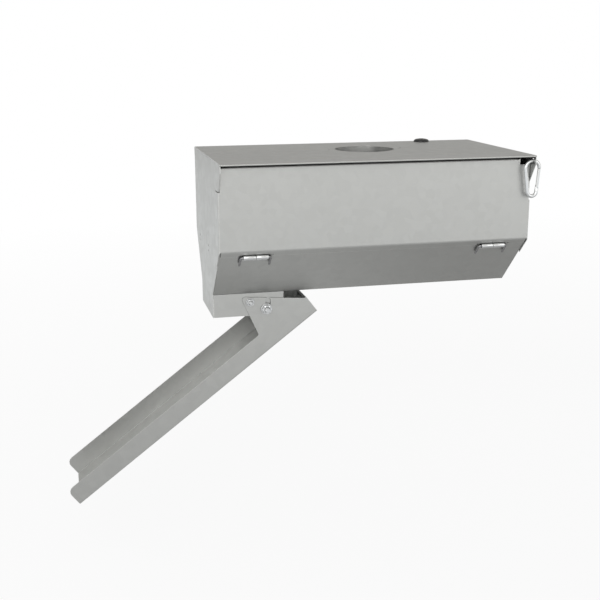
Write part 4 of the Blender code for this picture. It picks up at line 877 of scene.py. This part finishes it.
class FEEDER_OT_timer(Operator):
    """Draw the timer's screen frame, its digits and its button caps"""

    bl_idname = "feeder.timer"
    bl_label = "Timer face"

    def execute(self, context):
        self.screen_frame()
        self.digits()
        for number in (1, 2, 3):
            self.cap(f"timer_button_{number}")
        return {"FINISHED"}

    def screen_frame(self):
        """A raised frame: a rounded oblong for each point of the frame's section."""
        low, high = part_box("timer_screen")
        middle = np.array([low.x + high.x, low.z + high.z]) / 2
        half = np.array([high.x - low.x, high.z - low.z]) / 2
        angle = np.linspace(0, 2 * np.pi, 120, endpoint=False)
        section = ((0.2, 0.05), (0.2, 0.9), (0.7, 1.3), (3.2, 1.3), (4.0, 0.7), (4.0, 0.05))
        rows = []
        for wider, proud in section:
            x, z = squared_ring(angle, *(half + wider * MM), 8)
            y = np.full_like(x, low.y - proud * MM)
            rows.append(np.stack([middle[0] + x, y, middle[1] + z], -1))
        ring = skin("timer_screen_frame", np.stack(rows), along_closed=True, sharp=40)
        settle(ring, "black plastic", "housing", "black_plastic")

    def digits(self):
        """Six-cornered bars in one mesh: each is a template stretched, turned and moved."""
        low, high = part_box("timer_screen")
        centre = np.array([low.x + high.x, low.z + high.z]) / 2
        unit = 6.5 * MM
        bars = []
        for sign, place in (("1", -17), ("2", -7.5), ("0", 7.5), ("0", 17)):
            for x, z, upright in SEGMENTS[sign]:
                bars.append((place * MM + x * unit, z * unit, upright, 0.84 * unit / 2))
        bars += [(0, 2.2 * MM, 1, 0.7 * MM), (0, -2.2 * MM, 1, 0.7 * MM)]
        x, z, upright, half = np.array(bars).T
        thick = 0.65 * MM
        along = np.array([-1, -0.8, 0.8, 1, 0.8, -0.8]) * half[:, None]
        across = np.broadcast_to(np.array([0, 1, 1, 0, -1, -1]) * thick, along.shape)
        turned = upright[:, None] > 0
        flat = np.stack([np.where(turned, across, along), np.where(turned, along, across)], -1)
        flat += np.stack([x + centre[0], z + centre[1]], -1)[:, None]
        depth = low.y - np.array([0.05, 0.22]) * MM
        points = np.stack(
            [
                np.broadcast_to(flat[:, None, :, 0], (len(bars), 2, 6)),
                np.broadcast_to(depth[None, :, None], (len(bars), 2, 6)),
                np.broadcast_to(flat[:, None, :, 1], (len(bars), 2, 6)),
            ],
            -1,
        ).reshape(-1, 3)
        ring = np.arange(6)
        side = np.stack([ring, (ring + 1) % 6, (ring + 1) % 6 + 6, ring + 6], -1)
        first = 12 * np.arange(len(bars))
        sides = (first[:, None, None] + side).reshape(-1, 4)
        back = first[:, None] + ring[::-1]
        front = first[:, None] + 6 + ring
        mesh = bpy.data.meshes.new("timer_digits")
        mesh.from_pydata(points.tolist(), [], sides.tolist() + back.tolist() + front.tolist())
        shell = bmesh.new()
        shell.from_mesh(mesh)
        bmesh.ops.recalc_face_normals(shell, faces=shell.faces)
        shell.to_mesh(mesh)
        shell.free()
        piece = bpy.data.objects.new("timer_digits", mesh)
        bpy.context.scene.collection.objects.link(piece)
        settle(piece, "black plastic", "housing", "screen")

    def cap(self, node):
        """A button cap: a rounded rim, then a shallow dish of depth 0.35 * (1 - (r / R)^2)."""
        low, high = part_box(node)
        radius = (high.x - low.x) / 2
        place = ((low.x + high.x) / 2, high.y, (low.z + high.z) / 2)
        length = high.y - low.y
        turn = np.linspace(0, np.pi / 2, 8)
        round_edge = 0.7 * MM
        rim = [
            (radius - round_edge * (1 - np.cos(t)), length - round_edge * (1 - np.sin(t)))
            for t in turn
        ]
        inside = np.linspace(radius - 1.1 * MM, 0.3 * MM, 8)
        dish = [(r, length - 0.35 * MM * (1 - (r / radius) ** 2)) for r in inside]
        profile = [(radius, 0)] + rim + dish
        piece = lathe(f"{node}_cap", profile, place, (0, -1, 0), sides=48, sharp=50)
        settle(piece, "button plastic", node.replace("timer_", ""), "button_plastic", node)


# ---------------------------------------------------------------- studio
def area_lamp(name, place, aim, size, watts):
    """A rectangular lamp that looks from its place at a point."""
    data = bpy.data.lights.new(name, "AREA")
    data.shape = "RECTANGLE"
    data.size, data.size_y = size
    data.energy = watts
    lamp = bpy.data.objects.new(name, data)
    lamp.location = place
    lamp.rotation_euler = (Vector(place) - Vector(aim)).to_track_quat("Z", "Y").to_euler()
    bpy.context.scene.collection.objects.link(lamp)


class FEEDER_OT_studio(Operator):
    """Set the camera, the lamps, the pale floor and the white surroundings"""

    bl_idname = "feeder.studio"
    bl_label = "Studio"

    def execute(self, context):
        studio = context.scene.feeder_studio
        self.camera(context)
        self.surroundings(context, studio.ambient)
        self.floor()
        aim, key = (0, 0, -0.15), studio.key_watts
        area_lamp("key lamp", (-1.1, -2.4, 1.0), aim, (2.6, 2.0), key)
        area_lamp("right lamp", (1.7, -2.2, 0.5), aim, (1.2, 1.2), key * RIGHT_LAMP_SHARE)
        area_lamp("top lamp", (0.3, 0.2, 2.2), (0, 0, -0.1), (1.6, 1.6), key * TOP_LAMP_SHARE)
        context.scene.view_settings.view_transform = "Standard"
        return {"FINISHED"}

    def camera(self, context):
        """The photograph's camera, turned by its azimuth, elevation and roll."""
        data = bpy.data.cameras.new("camera")
        data.lens, data.sensor_width = CAMERA_LENS, CAMERA_SENSOR
        camera = bpy.data.objects.new("camera", data)
        azimuth, elevation = np.radians(CAMERA_AZIMUTH), np.radians(CAMERA_ELEVATION)
        roll = np.radians(CAMERA_ROLL)
        back = Vector((
            np.sin(azimuth) * np.cos(elevation), -np.cos(azimuth) * np.cos(elevation),
            np.sin(elevation),
        ))
        right = Vector((np.cos(azimuth), np.sin(azimuth), 0))
        up = back.cross(right)
        turned_right = right * np.cos(roll) + up * np.sin(roll)
        turned_up = up * np.cos(roll) - right * np.sin(roll)
        pose = camera.matrix_world.to_3x3()
        pose.col[0], pose.col[1], pose.col[2] = turned_right, turned_up, back
        camera.matrix_world = pose.to_4x4()
        camera.location = CAMERA_PLACE
        context.scene.collection.objects.link(camera)
        context.scene.camera = camera

    def surroundings(self, context, ambient):
        """White to the camera, a plain level for the object's light, and graded in reflections.

        Reflections see white in front, and a dimmer room behind and above, which is what gives
        the roof its darker tone than the door.
        """
        world = bpy.data.worlds.new("white surroundings")
        world.use_nodes = True
        context.scene.world = world
        tree = world.node_tree
        plain = tree.nodes["Background"]
        plain.inputs["Color"].default_value = (1, 1, 1, 1)
        plain.inputs["Strength"].default_value = ambient
        white = tree.nodes.new("ShaderNodeBackground")
        white.inputs["Color"].default_value = (1, 1, 1, 1)
        room = tree.nodes.new("ShaderNodeBackground")
        room.inputs["Color"].default_value = ROOM_TINT
        towards = tree.nodes.new("ShaderNodeSeparateXYZ")
        place = tree.nodes.new("ShaderNodeTexCoord")
        tree.links.new(place.outputs["Generated"], towards.inputs[0])
        behind = spread(tree, towards.outputs["Y"], -0.2, 0.7, 1.0, 0.55)
        above = spread(tree, towards.outputs["Z"], 0.15, 0.9, 1.0, 0.62)
        tree.links.new(math_node(tree, "MULTIPLY", behind, above), room.inputs["Strength"])
        path = tree.nodes.new("ShaderNodeLightPath")
        through = path.outputs["Is Transmission Ray"]
        seen = math_node(tree, "MAXIMUM", path.outputs["Is Camera Ray"], through)
        lit = self.blend(tree, path.outputs["Is Glossy Ray"], plain.outputs[0], room.outputs[0])
        lit = self.blend(tree, seen, lit, white.outputs[0])
        tree.links.new(lit, tree.nodes["World Output"].inputs["Surface"])

    def blend(self, tree, share, first, second):
        """Two shaders mixed, with the second one's share."""
        mix = tree.nodes.new("ShaderNodeMixShader")
        tree.links.new(share, mix.inputs["Fac"])
        tree.links.new(first, mix.inputs[1])
        tree.links.new(second, mix.inputs[2])
        return mix.outputs[0]

    def floor(self):
        """A pale floor under the chute, which the camera sees nearly white, with the shadow.

        Reflections see a glow painted on it in place of its lit surface: a painted shadow, darker
        close to the object, and bright further off. The level runs with the distance from a point
        under the housing's right.
        The camera's share of plain white grows with that distance too, so the far floor meets
        the white surroundings without a line.
        """
        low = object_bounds()[0]
        size, height = 6.0, low[2] - FLOOR_DROP
        ends = ((-size, -size), (size, -size), (size, size), (-size, size))
        corners = [(x, y, height) for x, y in ends]
        mesh = bpy.data.meshes.new("floor")
        mesh.from_pydata(corners, [], [(0, 1, 2, 3)])
        floor = bpy.data.objects.new("floor", mesh)
        bpy.context.scene.collection.objects.link(floor)
        made = bpy.data.materials.new("pale floor")
        made.use_nodes = True
        tree = made.node_tree
        shader = tree.nodes["Principled BSDF"]
        shader.inputs["Base Color"].default_value = (0.82, 0.82, 0.82, 1)
        shader.inputs["Roughness"].default_value = 0.9
        glow = tree.nodes.new("ShaderNodeEmission")
        glow.inputs["Color"].default_value = (1, 1, 1, 1)
        path = tree.nodes.new("ShaderNodeLightPath")
        painted_floor_reflection = tree.nodes.new("ShaderNodeEmission")
        reach = tree.nodes.new("ShaderNodeVectorMath")
        reach.operation = "DISTANCE"
        place = tree.nodes.new("ShaderNodeTexCoord")
        tree.links.new(place.outputs["Object"], reach.inputs[0])
        reach.inputs[1].default_value = (0.36, -0.05, height)
        # Painted shadow: the glow that reflections see is dimmer close to the object.
        near_by = spread(tree, reach.outputs["Value"], 0.1, 0.55, 0.36, 0.60)
        further = spread(tree, reach.outputs["Value"], 1.1, 1.9, 0.0, 0.38)
        level = math_node(tree, "ADD", near_by, further)
        tree.links.new(level, painted_floor_reflection.inputs["Strength"])
        tint = tree.nodes.new("ShaderNodeMix")
        tint.data_type = "RGBA"
        tint.inputs["A"].default_value = ROOM_TINT
        tint.inputs["B"].default_value = FLOOR_TINT
        tree.links.new(level, tint.inputs["Factor"])
        tree.links.new(tint.outputs["Result"], painted_floor_reflection.inputs["Color"])
        fade = spread(tree, reach.outputs["Value"], 0.7, 3.0, 0.90, 1.0)
        share = math_node(tree, "MULTIPLY", path.outputs["Is Camera Ray"], fade)
        glossy = path.outputs["Is Glossy Ray"]
        lit = self.blend(tree, glossy, shader.outputs[0], painted_floor_reflection.outputs[0])
        lit = self.blend(tree, share, lit, glow.outputs[0])
        tree.links.new(lit, tree.nodes["Material Output"].inputs["Surface"])
        mesh.materials.append(made)
        floor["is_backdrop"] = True


# ---------------------------------------------------------------- panel and run
PIECES = (
    FEEDER_OT_finishes, FEEDER_OT_carabiner, FEEDER_OT_hinges, FEEDER_OT_chute_bolts,
    FEEDER_OT_funnel, FEEDER_OT_grommet, FEEDER_OT_auger, FEEDER_OT_battery, FEEDER_OT_timer,
    FEEDER_OT_studio,
)


class FEEDER_PT_pieces(Panel):
    """Lists the feeder's pieces in the sidebar"""

    bl_idname = "FEEDER_PT_pieces"
    bl_label = "Feeder head"
    bl_space_type = "VIEW_3D"
    bl_region_type = "UI"
    bl_category = "Feeder"

    def draw(self, context):
        for piece in PIECES:
            self.layout.operator(piece.bl_idname)


SETTINGS = (FeederSizes, FeederColours, FeederStudio)


def register():
    for entry in SETTINGS + PIECES + (FEEDER_PT_pieces,):
        bpy.utils.register_class(entry)
    bpy.types.Scene.feeder_sizes = PointerProperty(type=FeederSizes)
    bpy.types.Scene.feeder_colours = PointerProperty(type=FeederColours)
    bpy.types.Scene.feeder_studio = PointerProperty(type=FeederStudio)


def unregister():
    del bpy.types.Scene.feeder_studio
    del bpy.types.Scene.feeder_colours
    del bpy.types.Scene.feeder_sizes
    for entry in reversed(SETTINGS + PIECES + (FEEDER_PT_pieces,)):
        bpy.utils.unregister_class(entry)


def main():
    register()
    bpy.ops.feeder.finishes()
    bpy.ops.feeder.carabiner()
    bpy.ops.feeder.hinges()
    bpy.ops.feeder.chute_bolts()
    bpy.ops.feeder.funnel()
    bpy.ops.feeder.grommet()
    bpy.ops.feeder.auger()
    bpy.ops.feeder.battery()
    bpy.ops.feeder.timer()
    bpy.ops.feeder.studio()


if __name__ == "__main__":
    main()
